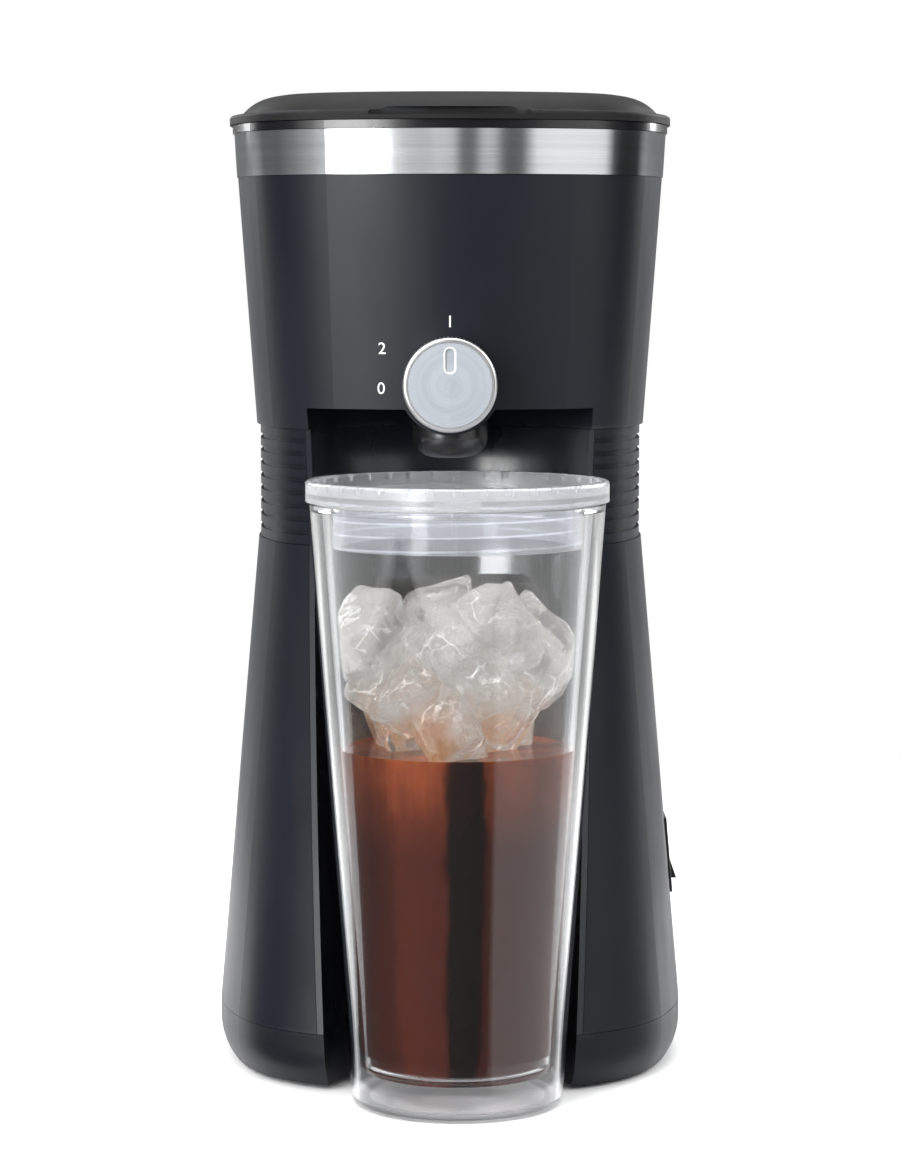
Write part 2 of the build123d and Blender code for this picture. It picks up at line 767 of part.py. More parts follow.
# Brew chamber: cup under the deck with a drain spigot at its front
chamber_floor = chamber_bottom + chamber_wall
with BuildPart() as brew_chamber:
    disc(chamber_radius, chamber_bottom, tank_top, 0, brew_y)
    disc(chamber_bore, chamber_floor, tank_top, 0, brew_y, Mode.SUBTRACT)
    disc(drain_radius + drain_wall, chamber_bottom - drain_length, chamber_bottom, 0, valve_y)
    disc(drain_radius, chamber_bottom - drain_length, chamber_floor, 0, valve_y, Mode.SUBTRACT)
finish(brew_chamber, "brew_chamber")

# Filter frame: flange on the deck, ring, ribs and foot ring
frame_radius = chamber_bore - filter_gap
frame_inner = frame_radius - filter_wall
frame_foot = deck_top - filter_height
flange_top = deck_top + running_gap + filter_flange_height
with BuildPart() as filter_frame:
    disc(frame_radius, deck_top - filter_ring_height, flange_top, 0, brew_y)
    disc(frame_radius + filter_flange, deck_top + running_gap, flange_top, 0, brew_y)
    disc(frame_radius, frame_foot, frame_foot + filter_rib_width, 0, brew_y)
    for step in range(filter_ribs):
        rib_angle = radians(360 / filter_ribs * step)
        rib_middle = frame_radius - filter_wall / 2
        rib_plane = level(frame_foot, rib_middle * cos(rib_angle), brew_y + rib_middle * sin(rib_angle))
        with Locations(rib_plane.rotated((0, 0, degrees(rib_angle)))):
            Box(filter_wall, filter_rib_width, filter_height, align=(Align.CENTER, Align.CENTER, Align.MIN))
    disc(frame_inner, frame_foot, flange_top, 0, brew_y, Mode.SUBTRACT)
    tab_top = flange_top - tab_drop
    tab_y = brew_y + frame_inner + filter_wall / 2 - tab_reach / 2
    slab(tab_width, tab_reach, tab_top - filter_flange_height, tab_top, 0, tab_y)
finish(filter_frame, "filter_frame")

# Filter mesh: thin cup inside the frame
mesh_radius = frame_inner - running_gap
mesh_top = deck_top - filter_rib_width
with BuildPart() as filter_mesh:
    disc(mesh_radius, frame_foot, mesh_top, 0, brew_y)
    disc(mesh_radius - mesh_wall, frame_foot + mesh_wall, mesh_top, 0, brew_y, Mode.SUBTRACT)
finish(filter_mesh, "filter_mesh")

# Outlet nozzle that carries the hot water through the deck to the lid
collar_foot = deck_height - outlet_collar
with BuildPart() as outlet_nozzle:
    disc(outlet_radius, collar_foot, outlet_top, riser_x, riser_y)
    disc(hose_radius, collar_foot, deck_height - seam_gap, riser_x, riser_y)
    disc(nipple_radius, collar_foot - nipple_length, collar_foot, riser_x, riser_y)
    disc(nipple_bore, collar_foot - nipple_length, outlet_top, riser_x, riser_y, Mode.SUBTRACT)
finish(outlet_nozzle, "outlet_nozzle")

# Lid shell: thin edge flange and a dome with rounded shoulders, hollow below, with a finger scoop
lid_foot = lid_seam + running_gap
liner_top = liner_height + liner_thickness
lid_hollow_half = liner_half + seam_gap
with BuildPart() as lid_knuckles:
    for side in (-1, 1):
        knuckle_start = side * hinge_x - hinge_knuckle_width / 2
        knuckle_root = lid_half + rear_stretch - hinge_root
        with BuildSketch(sideways(knuckle_start)) as knuckle:
            with Locations((hinge_y, lid_seam)):
                Circle(hinge_knuckle_radius)
            with BuildLine() as knuckle_edge:
                Polyline(
                    (knuckle_root, lid_foot + seam_gap),
                    (hinge_y, lid_foot + seam_gap),
                    (hinge_y, lid_seam + hinge_knuckle_radius),
                    (knuckle_root, lid_edge_top - seam_gap),
                    close=True,
                )
            make_face(knuckle_edge.edges())
        extrude(knuckle.sketch, amount=hinge_knuckle_width)
    cross_rod(hinge_pin_radius, 4 * hinge_x, 0, hinge_y, lid_seam, Mode.SUBTRACT)

with BuildPart() as lid_shell:
    block(lid_foot, lid_edge_top, lid_half, lid_half)
    fillet(lid_shell.faces().sort_by(Axis.Z)[-1].edges(), lid_edge_round)
    add(dome(dome_half, dome_round, lid_top, lid_edge_top))
    block(lid_foot, lid_edge_top + 1, lid_hollow_half, lid_hollow_half, Mode.SUBTRACT)
    hollow_dome = dome(dome_half - lid_wall, dome_round - lid_wall, lid_top - lid_wall, lid_edge_top)
    add(hollow_dome, mode=Mode.SUBTRACT)
    with BuildSketch(level(lid_foot + scoop_lip, 0, -lid_half)) as scoop:
        SlotOverall(scoop_width, 2 * scoop_depth)
    extrude(scoop.sketch, amount=lid_edge_round + scoop_lip, mode=Mode.SUBTRACT)
    add(lid_knuckles.part)
finish(lid_shell, "lid_shell")

# Lid liner: plate inside the rim's mouth, with the water duct from the outlet nozzle to the shower
duct_angle = atan2(brew_y - riser_y, -riser_x)
duct_length = hypot(brew_y - riser_y, riser_x)
duct_plane = level(liner_height, riser_x, riser_y).rotated((0, 0, degrees(duct_angle)))
shower_top = liner_height - shower_drop
with BuildPart() as lid_liner:
    block(liner_height, liner_top, liner_half, liner_half)
    with BuildSketch(duct_plane) as duct:
        with Locations((duct_length / 2, 0)):
            SlotCenterToCenter(duct_length, duct_width)
    extrude(duct.sketch, amount=duct_height)
    with BuildSketch(duct_plane.offset(duct_floor)) as duct_inside:
        with Locations((duct_length / 2, 0)):
            SlotCenterToCenter(duct_length, duct_width - 2 * duct_wall)
    extrude(duct_inside.sketch, amount=duct_height - duct_floor - duct_wall, mode=Mode.SUBTRACT)
    disc(outlet_radius, liner_height, liner_height + duct_floor, riser_x, riser_y, Mode.SUBTRACT)
    disc(outlet_radius, liner_height, liner_height + duct_floor, 0, brew_y, Mode.SUBTRACT)
finish(lid_liner, "lid_liner")

# Shower plate: shallow cup under the liner, with rings of holes
with BuildPart() as shower_plate:
    disc(shower_radius, shower_top - shower_thickness, liner_height - running_gap, 0, brew_y)
    disc(shower_radius - duct_wall, shower_top, liner_height, 0, brew_y, Mode.SUBTRACT)
    with Locations(level(shower_top, 0, brew_y)):
        for ring in range(1, shower_rings + 1):
            with PolarLocations(shower_ring_pitch * ring, 6 * ring):
                Cylinder(shower_hole_radius, 4 * shower_thickness, mode=Mode.SUBTRACT)
finish(shower_plate, "shower_plate")

# Gasket round the brew chamber's mouth, carried by the lid
gasket_inner = frame_radius + filter_flange + lid_seal_gap
with BuildPart() as lid_gasket:
    disc(gasket_inner + lid_seal_width, deck_top + seam_gap, liner_height - running_gap, 0, brew_y)
    disc(gasket_inner, deck_top, liner_height, 0, brew_y, Mode.SUBTRACT)
finish(lid_gasket, "lid_gasket")

# Valve body: cross bore for the plug, socket for the chamber's drain, spigot for the nozzle
valve_bore = plug_radius + running_gap
socket_bore = spigot_radius + 2 * seal_section
drain_foot = chamber_bottom - drain_length
with BuildPart() as valve_body:
    rod(valve_radius, valve_front_y, valve_rear_y, knob_height)
    rod(boss_radius - boss_wall - slip_gap, valve_front_y - plug_wall, valve_front_y, knob_height)
    disc(socket_radius, knob_height, chamber_bottom - seam_gap, 0, valve_y)
    disc(nozzle_radius + slip_gap, nozzle_bottom, nozzle_top + slip_gap, 0, valve_y, Mode.SUBTRACT)
    disc(spigot_radius, nozzle_top - drain_length + seal_section, knob_height, 0, valve_y)
    disc(socket_bore, drain_foot - slip_gap, chamber_bottom, 0, valve_y, Mode.SUBTRACT)
    disc(port_radius, nozzle_bottom, chamber_bottom, 0, valve_y, Mode.SUBTRACT)
    rod(valve_bore, valve_front_y, valve_rear_y, knob_height, mode=Mode.SUBTRACT)
    lip_front = valve_front_y - plug_wall
    rod(shaft_radius + running_gap, lip_front, valve_front_y, knob_height, mode=Mode.SUBTRACT)
finish(valve_body, "valve_body")

# Rear cap of the valve
with BuildPart() as valve_cap:
    rod(valve_radius, valve_rear_y + running_gap, valve_rear_y + 2 * plug_wall, knob_height)
    rod(plug_radius - seal_section, valve_rear_y - plug_wall, valve_rear_y + 2 * plug_wall, knob_height)
finish(valve_cap, "valve_cap")

# Valve plug on the knob's shaft: a wide cross hole for the open place, a narrow one for the strong place
plug_front = valve_front_y + seam_gap
plug_rear = valve_rear_y - plug_wall - seam_gap
shaft_front = knob_front_y + face_thickness + knob_wall + seam_gap
with BuildPart() as valve_plug:
    rod(plug_radius, plug_front, plug_rear, knob_height)
    rod(shaft_radius, shaft_front, plug_front, knob_height)
    flat_length = knob_back_y - shaft_front
    flat_top = knob_height + shaft_radius - shaft_flat
    slab(2 * shaft_radius, flat_length, flat_top, flat_top + 2 * shaft_radius,
         0, shaft_front + flat_length / 2, Mode.SUBTRACT)
    for angle, radius in ((0, port_radius), (strong_angle, strong_port_radius)):
        with Locations(Plane(origin=(0, machine_y + valve_y, knob_height)).rotated((0, angle, 0))):
            Cylinder(radius, 4 * plug_radius, mode=Mode.SUBTRACT)
finish(valve_plug, "valve_plug")

# Ring that seals the chamber's drain in the valve's socket
with BuildPart() as drain_ring:
    with Locations(level((drain_foot + chamber_bottom) / 2, 0, valve_y)):
        Torus(spigot_radius + seal_section, seal_section - running_gap)
finish(drain_ring, "drain_ring")

# Ring that seals the shaft in front of the valve body
with BuildPart() as shaft_ring:
    ring_front = valve_front_y - plug_wall - seal_section
    rod(spigot_radius, ring_front, valve_front_y - plug_wall - running_gap, knob_height)
    rod(shaft_radius + running_gap, ring_front, valve_front_y, knob_height, mode=Mode.SUBTRACT)
finish(shaft_ring, "shaft_ring")

# Drip nozzle: round-bottomed bowl on the valve's spigot
with BuildPart() as drip_nozzle:
    disc(nozzle_radius, nozzle_bottom, nozzle_top, 0, valve_y)
    fillet(drip_nozzle.faces().sort_by(Axis.Z)[0].edges(), nozzle_round)
    disc(spigot_radius + running_gap, nozzle_top - drain_length, nozzle_top, 0, valve_y, Mode.SUBTRACT)
    disc(port_radius, nozzle_bottom, nozzle_top, 0, valve_y, Mode.SUBTRACT)
    chamfer(drip_nozzle.faces().sort_by(Axis.Z)[0].edges().sort_by(SortBy.LENGTH)[0], seal_section)
finish(drip_nozzle, "drip_nozzle")

# Knob: fluted rim, hollow back, and a hub on the flat-sided shaft
knob_seat = knob_front_y + face_thickness
with BuildPart() as knob:
    rod(knob_radius, knob_front_y, knob_back_y, knob_height)
    fillet(knob.faces().sort_by(Axis.Y)[0].edges(), seal_section)
    with Locations(upright(0, knob_back_y, knob_height)):
        with PolarLocations(knob_radius, knob_flutes):
            Cylinder(flute_radius, 2 * (knob_back_y - knob_seat) - seal_section, mode=Mode.SUBTRACT)
    rod(knob_radius - knob_wall, knob_seat + knob_wall, knob_back_y, knob_height, mode=Mode.SUBTRACT)
    rod(hub_radius, knob_seat, knob_back_y, knob_height)
    with BuildSketch(upright(0, knob_back_y, knob_height)) as shaft_hole:
        Circle(shaft_radius + running_gap)
        with Locations((0, 2 * shaft_radius - shaft_flat + running_gap)):
            Rectangle(4 * shaft_radius, 2 * shaft_radius, mode=Mode.SUBTRACT)
    extrude(shaft_hole.sketch, amount=knob_back_y - shaft_front + seam_gap, mode=Mode.SUBTRACT)
    rod(face_radius + running_gap, knob_front_y, knob_seat, knob_height, mode=Mode.SUBTRACT)
finish(knob, "knob")

# Knob face: silver disc with the rounded pointer slot at its top
with BuildPart() as knob_face:
    rod(face_radius, knob_front_y + seam_gap, knob_seat - running_gap, knob_height)
    with BuildSketch(upright(0, knob_front_y + pointer_depth, knob_height)) as pointer:
        with Locations((0, face_radius - pointer_inset - pointer_length / 2)):
            SlotOverall(pointer_length, pointer_width, rotation=90)
    extrude(pointer.sketch, amount=2 * pointer_depth, mode=Mode.SUBTRACT)
finish(knob_face, "knob_face")

# Check valve under the supply hose: body with the ball's seat, a cap pressed in above, and the ball
check_top = check_bottom + check_height
seat_height = check_bottom + seat_rise
cap_foot = seat_height + 2 * ball_radius + ball_lift + slip_gap
cap_top = check_top + clamp_wall
with BuildPart() as check_valve:
    disc(check_radius, check_bottom, check_top, supply_x, supply_low_y)
    disc(nipple_radius, check_bottom - nipple_length, check_bottom, supply_x, supply_low_y)
    disc(nipple_bore, check_bottom - nipple_length, check_top, supply_x, supply_low_y, Mode.SUBTRACT)
    disc(ball_radius + slip_gap, seat_height, check_top, supply_x, supply_low_y, Mode.SUBTRACT)
    disc(hose_radius, cap_foot, check_top, supply_x, supply_low_y, Mode.SUBTRACT)
finish(check_valve, "check_valve")

with BuildPart() as check_valve_cap:
    disc(hose_radius - running_gap, cap_foot + running_gap, cap_top, supply_x, supply_low_y)
    disc(check_radius, check_top + running_gap, cap_top, supply_x, supply_low_y)
    disc(nipple_radius, cap_top, cap_top + nipple_length, supply_x, supply_low_y)
    disc(nipple_bore, cap_foot, cap_top + nipple_length, supply_x, supply_low_y, Mode.SUBTRACT)
finish(check_valve_cap, "check_valve_cap")

with BuildPart() as check_ball:
    with Locations(level(seat_height + ball_radius + running_gap, supply_x, supply_low_y)):
        Sphere(ball_radius)
finish(check_ball, "check_ball")

# Hoses over their nipples: tank to check valve, check valve to heater, and heater up to the deck
hose_start = heater_leg_end + seam_gap
supply_foot = cap_top + seam_gap
supply_top = tank_bottom - seam_gap
riser_top = collar_foot - seam_gap
with BuildPart() as supply_hose:
    hose(
        [
            (supply_x, supply_low_y, supply_foot),
            (supply_x, supply_low_y, supply_foot + hose_sweep),
            (supply_x, supply_top_y, tank_bottom - 2 * hose_sweep),
            (supply_x, supply_top_y, supply_top),
        ],
        hose_sweep,
    )
finish(supply_hose, "supply_hose")

with BuildPart() as heater_hose:
    hose(
        [
            (heater_leg_x, hose_start, water_tube_height),
            (heater_leg_x, supply_low_y, water_tube_height),
            (supply_x, supply_low_y, check_bottom - seam_gap),
        ],
        hose_bend,
    )
finish(heater_hose, "heater_hose")

with BuildPart() as riser_hose:
    hose(
        [
            (-heater_leg_x, hose_start, water_tube_height),
            (-heater_leg_x, supply_low_y, water_tube_height),
            (-heater_leg_x, supply_low_y, water_tube_height + hose_sweep),
            (riser_x, riser_y, collar_bottom),
            (riser_x, riser_y, riser_top),
        ],
        [hose_bend, hose_sweep, hose_sweep],
    )
finish(riser_hose, "riser_hose")

# Clamps on the hoses' upright ends
clamp_places = [
    (supply_x, supply_top_y, supply_top - clamp_inset - clamp_height),
    (supply_x, supply_low_y, supply_foot + clamp_inset),
    (supply_x, supply_low_y, check_bottom - seam_gap - clamp_inset - clamp_height),
    (riser_x, riser_y, riser_top - clamp_inset - clamp_height),
]
with BuildPart() as hose_clamps:
    for x, y, height in clamp_places:
        disc(hose_radius + clamp_wall, height, height + clamp_height, x, y)
        disc(hose_radius + running_gap, height, height + clamp_height, x, y, Mode.SUBTRACT)
finish(hose_clamps, "hose_clamps")


def heater_path(height, radius, overhang, mode=Mode.ADD):
    """Round bar along the heater's horseshoe path."""
    end_y = machine_y + heater_leg_end + overhang
    bend_y = machine_y + heater_y
    with BuildLine() as path:
        Line((heater_leg_x, end_y, height), (heater_leg_x, bend_y, height))
        ThreePointArc(
            (heater_leg_x, bend_y, height),
            (0, bend_y - heater_leg_x, height),
            (-heater_leg_x, bend_y, height),
        )
        Line((-heater_leg_x, bend_y, height), (-heater_leg_x, end_y, height))
    with BuildSketch(Plane(origin=(heater_leg_x, end_y, height), z_dir=(0, -1, 0))) as section:
        Circle(radius)
    sweep(section.sketch, path=path.line, mode=mode)


# Heater casting: horseshoe with one channel for the water tube and one for the element
casting_top = heater_bottom + heater_height
casting_outer = heater_leg_x + heater_width / 2
casting_inner = heater_leg_x - heater_width / 2
leg_length = heater_leg_end - heater_y
with BuildPart() as heater_casting:
    with BuildSketch(level(heater_bottom, 0, heater_y)) as casting_plan:
        Circle(casting_outer)
        Circle(casting_inner, mode=Mode.SUBTRACT)
        with Locations((0, casting_outer)):
            Rectangle(4 * casting_outer, 2 * casting_outer, mode=Mode.SUBTRACT)
        with Locations((heater_leg_x, leg_length / 2), (-heater_leg_x, leg_length / 2)):
            Rectangle(heater_width, leg_length)
    extrude(casting_plan.sketch, amount=heater_height)
    heater_path(water_tube_height, nipple_radius + running_gap, slip_gap, Mode.SUBTRACT)
    heater_path(element_height, element_radius + running_gap, slip_gap, Mode.SUBTRACT)
finish(heater_casting, "heater_casting")

with BuildPart() as water_tube:
    heater_path(water_tube_height, nipple_radius, nipple_length)
    heater_path(water_tube_height, nipple_bore, nipple_length, Mode.SUBTRACT)
finish(water_tube, "water_tube")

with BuildPart() as heating_element:
    heater_path(element_height, element_radius, element_overhang)
finish(heating_element, "heating_element")

# Bracket: strap under the casting on two legs
with BuildPart() as heater_bracket:
    strap_top = heater_bottom - seam_gap
    slab(2 * bracket_reach, bracket_width, strap_top - bracket_thickness, strap_top, 0, heater_y)
    for side in (-1, 1):
        leg_x = side * (bracket_reach - bracket_thickness / 2)
        slab(bracket_thickness, bracket_width, cover_top + seam_gap, strap_top, leg_x, heater_y)
finish(heater_bracket, "heater_bracket")

# Thermostat on the casting, with two spade terminals
spade_top = casting_top + thermostat_height + spade_length
with BuildPart() as thermostat:
    disc(thermostat_radius, casting_top + seam_gap, casting_top + thermostat_height, 0, thermostat_y)
    for side in (-1, 1):
        slab(thermostat_spade_width, spade_thickness, casting_top + thermostat_height, spade_top,
             side * thermostat_spade_x, thermostat_y)
finish(thermostat, "thermostat")

# Thermal fuse lying on the casting, under a sprung clip
fuse_height = casting_top + fuse_radius + seam_gap
with BuildPart() as thermal_fuse:
    with Locations(Plane(origin=(-heater_leg_x, machine_y + fuse_y, fuse_height), z_dir=(0, 1, 0))):
        Cylinder(fuse_radius, fuse_length)
finish(thermal_fuse, "thermal_fuse")

with BuildPart() as fuse_clip:
    fuse_top = fuse_height + fuse_radius + running_gap
    slot_width = 2 * (fuse_radius + running_gap)
    clip_top = fuse_top + clip_wall
    slab(slot_width + 2 * clip_wall, clip_length, casting_top + seam_gap, clip_top, -heater_leg_x, fuse_y)
    slab(slot_width, clip_length, casting_top, fuse_top, -heater_leg_x, fuse_y, Mode.SUBTRACT)
finish(fuse_clip, "fuse_clip")

# Rocker switch on the right side: frame with its bezel, rocker with two pins, and terminals behind
pocket_width = rocker_width + 2 * rocker_side_gap
pocket_length = rocker_length + 2 * rocker_end_gap
outward = Axis(switch_plane.origin, switch_plane.z_dir)
with BuildPart() as switch_frame:
    with Locations(switch_plane):
        Box(bezel_width, bezel_length, bezel_proud, align=(Align.CENTER, Align.CENTER, Align.MIN))
    fillet(switch_frame.faces().sort_by(outward)[-1].edges(), bezel_proud / 2)
    with Locations(switch_plane):
        Box(switch_width, switch_length, switch_depth, align=(Align.CENTER, Align.CENTER, Align.MAX))
        Box(pocket_width, pocket_length, 2 * rocker_pocket_depth, mode=Mode.SUBTRACT)
    with Locations(switch_plane.offset(-rocker_pivot_depth)):
        Cylinder(rocker_pin_radius + running_gap, switch_width - rocker_side_gap,
                 rotation=(0, 90, 0), mode=Mode.SUBTRACT)
finish(switch_frame, "switch_frame")

rest_tilt = radians(rocker_tilt)
pivot_plane = Plane(
    origin=switch_plane.offset(-rocker_pivot_depth).origin,
    x_dir=switch_plane.x_dir,
    z_dir=switch_plane.z_dir * cos(rest_tilt) + switch_plane.y_dir * sin(rest_tilt),
)
profile_plane = Plane(
    origin=pivot_plane.origin - pivot_plane.x_dir * rocker_width / 2,
    x_dir=pivot_plane.y_dir,
    z_dir=pivot_plane.x_dir,
)
rocker_middle = rocker_pivot_depth + bezel_proud / 2
rocker_end = rocker_middle + rocker_length / 2 * sin(rest_tilt)
with BuildPart() as rocker:
    with BuildSketch(profile_plane) as rocker_profile:
        with BuildLine() as rocker_edge:
            Polyline(
                (-rocker_length / 2, rocker_end),
                (0, rocker_middle),
                (rocker_length / 2, rocker_end),
                (rocker_length / 2 - rocker_end_gap, -rocker_end_gap),
                (rocker_length / 4, -rocker_pivot_depth),
                (-rocker_length / 4, -rocker_pivot_depth),
                (rocker_end_gap - rocker_length / 2, -rocker_end_gap),
                close=True,
            )
        make_face(rocker_edge.edges())
    extrude(rocker_profile.sketch, amount=rocker_width)
    with Locations(pivot_plane):
        Cylinder(rocker_pin_radius, switch_width - 2 * rocker_side_gap, rotation=(0, 90, 0))
finish(rocker, "rocker")

terminal_rise = switch_length / 4
with BuildPart() as switch_terminals:
    with Locations(switch_plane.offset(-switch_depth - running_gap)):
        with Locations((0, -terminal_rise), (0, terminal_rise)):
            Box(spade_width, spade_thickness, spade_length, align=(Align.CENTER, Align.CENTER, Align.MAX))
finish(switch_terminals, "switch_terminals")


def behind_switch(reach, rise):
    """Place in the machine's plan behind the switch's terminals."""
    back = switch_plane.origin - switch_plane.z_dir * (switch_depth + spade_length + reach)
    place = back + switch_plane.y_dir * rise
    return (place.X, place.Y - machine_y, place.Z)


# Wires: inlet to switch, switch to thermostat, thermostat to fuse, fuse to element, element to inlet
gland_end = inlet_y - gland_length + gland_flange
wire_end = wire_radius / 4
element_end = heater_leg_end + element_overhang + wire_end
fuse_reach = fuse_length / 2 + wire_end
loop_y = gland_end - 2 * wire_bend
with BuildPart() as wiring:
    pipe(
        [
            (0, gland_end - wire_end, inlet_height + gland_radius / 3),
            (0, loop_y, inlet_height + gland_radius / 3),
            (supply_x / 2, supply_low_y, check_bottom - nipple_length),
            behind_switch(2 * spade_length, -terminal_rise),
            behind_switch(wire_end, -terminal_rise),
        ],
        wire_bend,
        wire_radius,
    )
    pipe(
        [
            behind_switch(wire_end, terminal_rise),
            behind_switch(2 * spade_length, terminal_rise),
            (thermostat_spade_x, thermostat_y, spade_top + 2 * spade_length),
            (thermostat_spade_x, thermostat_y, spade_top + wire_end),
        ],
        wire_bend,
        wire_radius,
    )
    pipe(
        [
            (-thermostat_spade_x, thermostat_y, spade_top + wire_end),
            (-thermostat_spade_x, thermostat_y, spade_top + spade_length),
            (-heater_leg_x, fuse_y - 2 * fuse_length, spade_top),
            (-heater_leg_x, fuse_y - fuse_length, fuse_height),
            (-heater_leg_x, fuse_y - fuse_reach, fuse_height),
        ],
        wire_bend / 2,
        wire_radius,
    )
    pipe(
        [
            (-heater_leg_x, fuse_y + fuse_reach, fuse_height),
            (-heater_leg_x, fuse_y + fuse_length, fuse_height),
            (-casting_outer - hose_radius, heater_leg_end, spade_top - spade_length),
            (-casting_outer - hose_radius, loop_y, element_height),
            (-heater_leg_x, loop_y, element_height),
            (-heater_leg_x, element_end, element_height),
        ],
        wire_bend / 2,
        wire_radius,
    )
    pipe(
        [
            (heater_leg_x, element_end, element_height),
            (heater_leg_x, loop_y, element_height),
            (0, loop_y, inlet_height - gland_radius / 3),
            (0, gland_end - wire_end, inlet_height - gland_radius / 3),
        ],
        wire_bend / 2,
        wire_radius,
    )
finish(wiring, "wiring")

# Cord inlet: flanged rubber bush in the rear wall
with BuildPart() as cord_gland:
    rod(gland_radius, gland_end, inlet_y + seam_gap, inlet_height)
    rod(gland_flange_radius, inlet_y + seam_gap, inlet_y + gland_flange, inlet_height)
    rod(inlet_radius, inlet_y - gland_length, inlet_y + 2 * gland_flange, inlet_height, mode=Mode.SUBTRACT)
finish(cord_gland, "cord_gland")

# Tumbler: both walls are turned about the tumbler's own axis
cup_axis = {"x": tumbler_x, "y": tumbler_y}


def cup_radius(height):
    """Outer radius of the tumbler at a height."""
    return between(0, tumbler_top, tumbler_foot_radius, tumbler_mouth_radius, height)


def cup_turn(inset, bottom, top, mode=Mode.ADD):
    """Cone of the tumbler inside its outer surface, between two heights."""
    turn([(0, bottom), (cup_radius(bottom) - inset, bottom), (cup_radius(top) - inset, top), (0, top)],
         tumbler_x, tumbler_y, mode)


inner_inset = tumbler_wall + tumbler_air
cup_floor = tumbler_wall + tumbler_base_gap
rim_foot = tumbler_top - tumbler_wall
with BuildPart() as tumbler_outer:
    cup_turn(0, 0, rim_foot - running_gap)
    fillet(tumbler_outer.faces().sort_by(Axis.Z)[0].edges(), tumbler_foot_round)
    cup_turn(tumbler_wall, tumbler_wall + tumbler_foot_recess, tumbler_top, Mode.SUBTRACT)
    recess_radius = tumbler_foot_radius - 2 * tumbler_foot_round
    disc(recess_radius, 0, tumbler_foot_recess, **cup_axis, mode=Mode.SUBTRACT)
finish(tumbler_outer, "tumbler_outer")

cup_inset = inner_inset + tumbler_wall
with BuildPart() as cup_inside:
    cup_turn(cup_inset, cup_floor + tumbler_wall, tumbler_top)
    fillet(cup_inside.faces().sort_by(Axis.Z)[0].edges(), tumbler_floor_round)

with BuildPart() as tumbler_inner:
    cup_turn(inner_inset, cup_floor, tumbler_top)
    fillet(tumbler_inner.faces().sort_by(Axis.Z)[0].edges(), tumbler_foot_round)
    cup_turn(0, rim_foot, tumbler_top)
    add(cup_inside.part, mode=Mode.SUBTRACT)
finish(tumbler_inner, "tumbler_inner")

# Sealing ring between the tumbler's mouth and its lid
ring_top = tumbler_top + tumbler_seal_height
mouth_bore = cup_radius(tumbler_top) - cup_inset
skirt_foot = tumbler_top - skirt_length
skirt_radius = cup_radius(skirt_foot) - cup_inset - skirt_gap
with BuildPart() as tumbler_ring:
    ring_radius = cup_radius(tumbler_top) - tumbler_wall
    disc(ring_radius, tumbler_top + running_gap, ring_top - running_gap, **cup_axis)
    disc(mouth_bore + running_gap, tumbler_top, ring_top, **cup_axis, mode=Mode.SUBTRACT)
finish(tumbler_ring, "tumbler_ring")

# Tumbler lid: flange notched inside its rim, sunk plate with a straw hole, and a ridged skirt
cup_plate_top = flange_top_height - cup_lid_recess
with BuildPart() as tumbler_lid:
    disc(lid_flange_radius, ring_top, flange_top_height, **cup_axis)
    fillet(tumbler_lid.faces().sort_by(Axis.Z)[-1].edges(), lid_flange_round)
    disc(skirt_radius, skirt_foot, ring_top, **cup_axis)
    for step in range(thread_ridges):
        ridge_foot = skirt_foot + thread_pitch * step + thread_width
        disc(skirt_radius + thread_depth, ridge_foot, ridge_foot + thread_width, **cup_axis)
    recess_radius = lid_flange_radius - lid_flange_wall
    disc(recess_radius, cup_plate_top, flange_top_height, **cup_axis, mode=Mode.SUBTRACT)
    with Locations(level(flange_top_height, tumbler_x, tumbler_y)):
        with PolarLocations(recess_radius, grip_notches):
            Cylinder(grip_notch_radius, 2 * grip_notch_depth, mode=Mode.SUBTRACT)
    plate_foot = cup_plate_top - cup_lid_plate
    disc(skirt_radius - skirt_wall, skirt_foot, plate_foot, **cup_axis, mode=Mode.SUBTRACT)
    disc(straw_radius, skirt_foot, flange_top_height, **cup_axis, mode=Mode.SUBTRACT)
finish(tumbler_lid, "tumbler_lid")
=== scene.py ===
import logging
import math
import random
from dataclasses import dataclass
from enum import Enum
from typing import Iterable, Sequence

import bmesh
import bpy
from mathutils import Matrix, Vector, noise


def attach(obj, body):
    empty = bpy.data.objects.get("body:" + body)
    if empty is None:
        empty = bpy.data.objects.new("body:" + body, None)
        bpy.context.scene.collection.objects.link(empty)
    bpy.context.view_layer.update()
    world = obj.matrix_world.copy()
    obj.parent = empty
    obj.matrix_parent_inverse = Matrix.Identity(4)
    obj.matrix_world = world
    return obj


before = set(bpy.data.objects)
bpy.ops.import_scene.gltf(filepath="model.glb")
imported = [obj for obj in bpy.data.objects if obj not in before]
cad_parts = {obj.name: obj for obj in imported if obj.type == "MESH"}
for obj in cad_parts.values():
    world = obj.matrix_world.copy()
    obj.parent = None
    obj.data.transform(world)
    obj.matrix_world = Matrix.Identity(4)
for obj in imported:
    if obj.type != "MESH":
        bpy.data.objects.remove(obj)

# Looks of the iced coffee maker: the finishes of every part, the printed dial numbers, the drink with its ice, and
# the pale studio that it all stands in.

LOG = logging.getLogger("coffee_maker")
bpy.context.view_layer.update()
MM = 0.001  # metres in a millimetre
MACHINE_Y = 16.7  # millimetres from the middle of the shared frame back to the machine's axis
Colour = tuple[float, float, float]
Point = tuple[float, float, float]
Pairs = tuple[tuple[float, float], ...]
Value = float | Sequence[float] | bpy.types.NodeSocket

UNLIT: Colour = (0.0, 0.0, 0.0)
DUST_COLOUR: Colour = (0.32, 0.31, 0.29)
# Silver of the painted highlight round the knob's pointer slot.
SLOT_HIGHLIGHT_SILVER: Colour = (0.72, 0.73, 0.75)


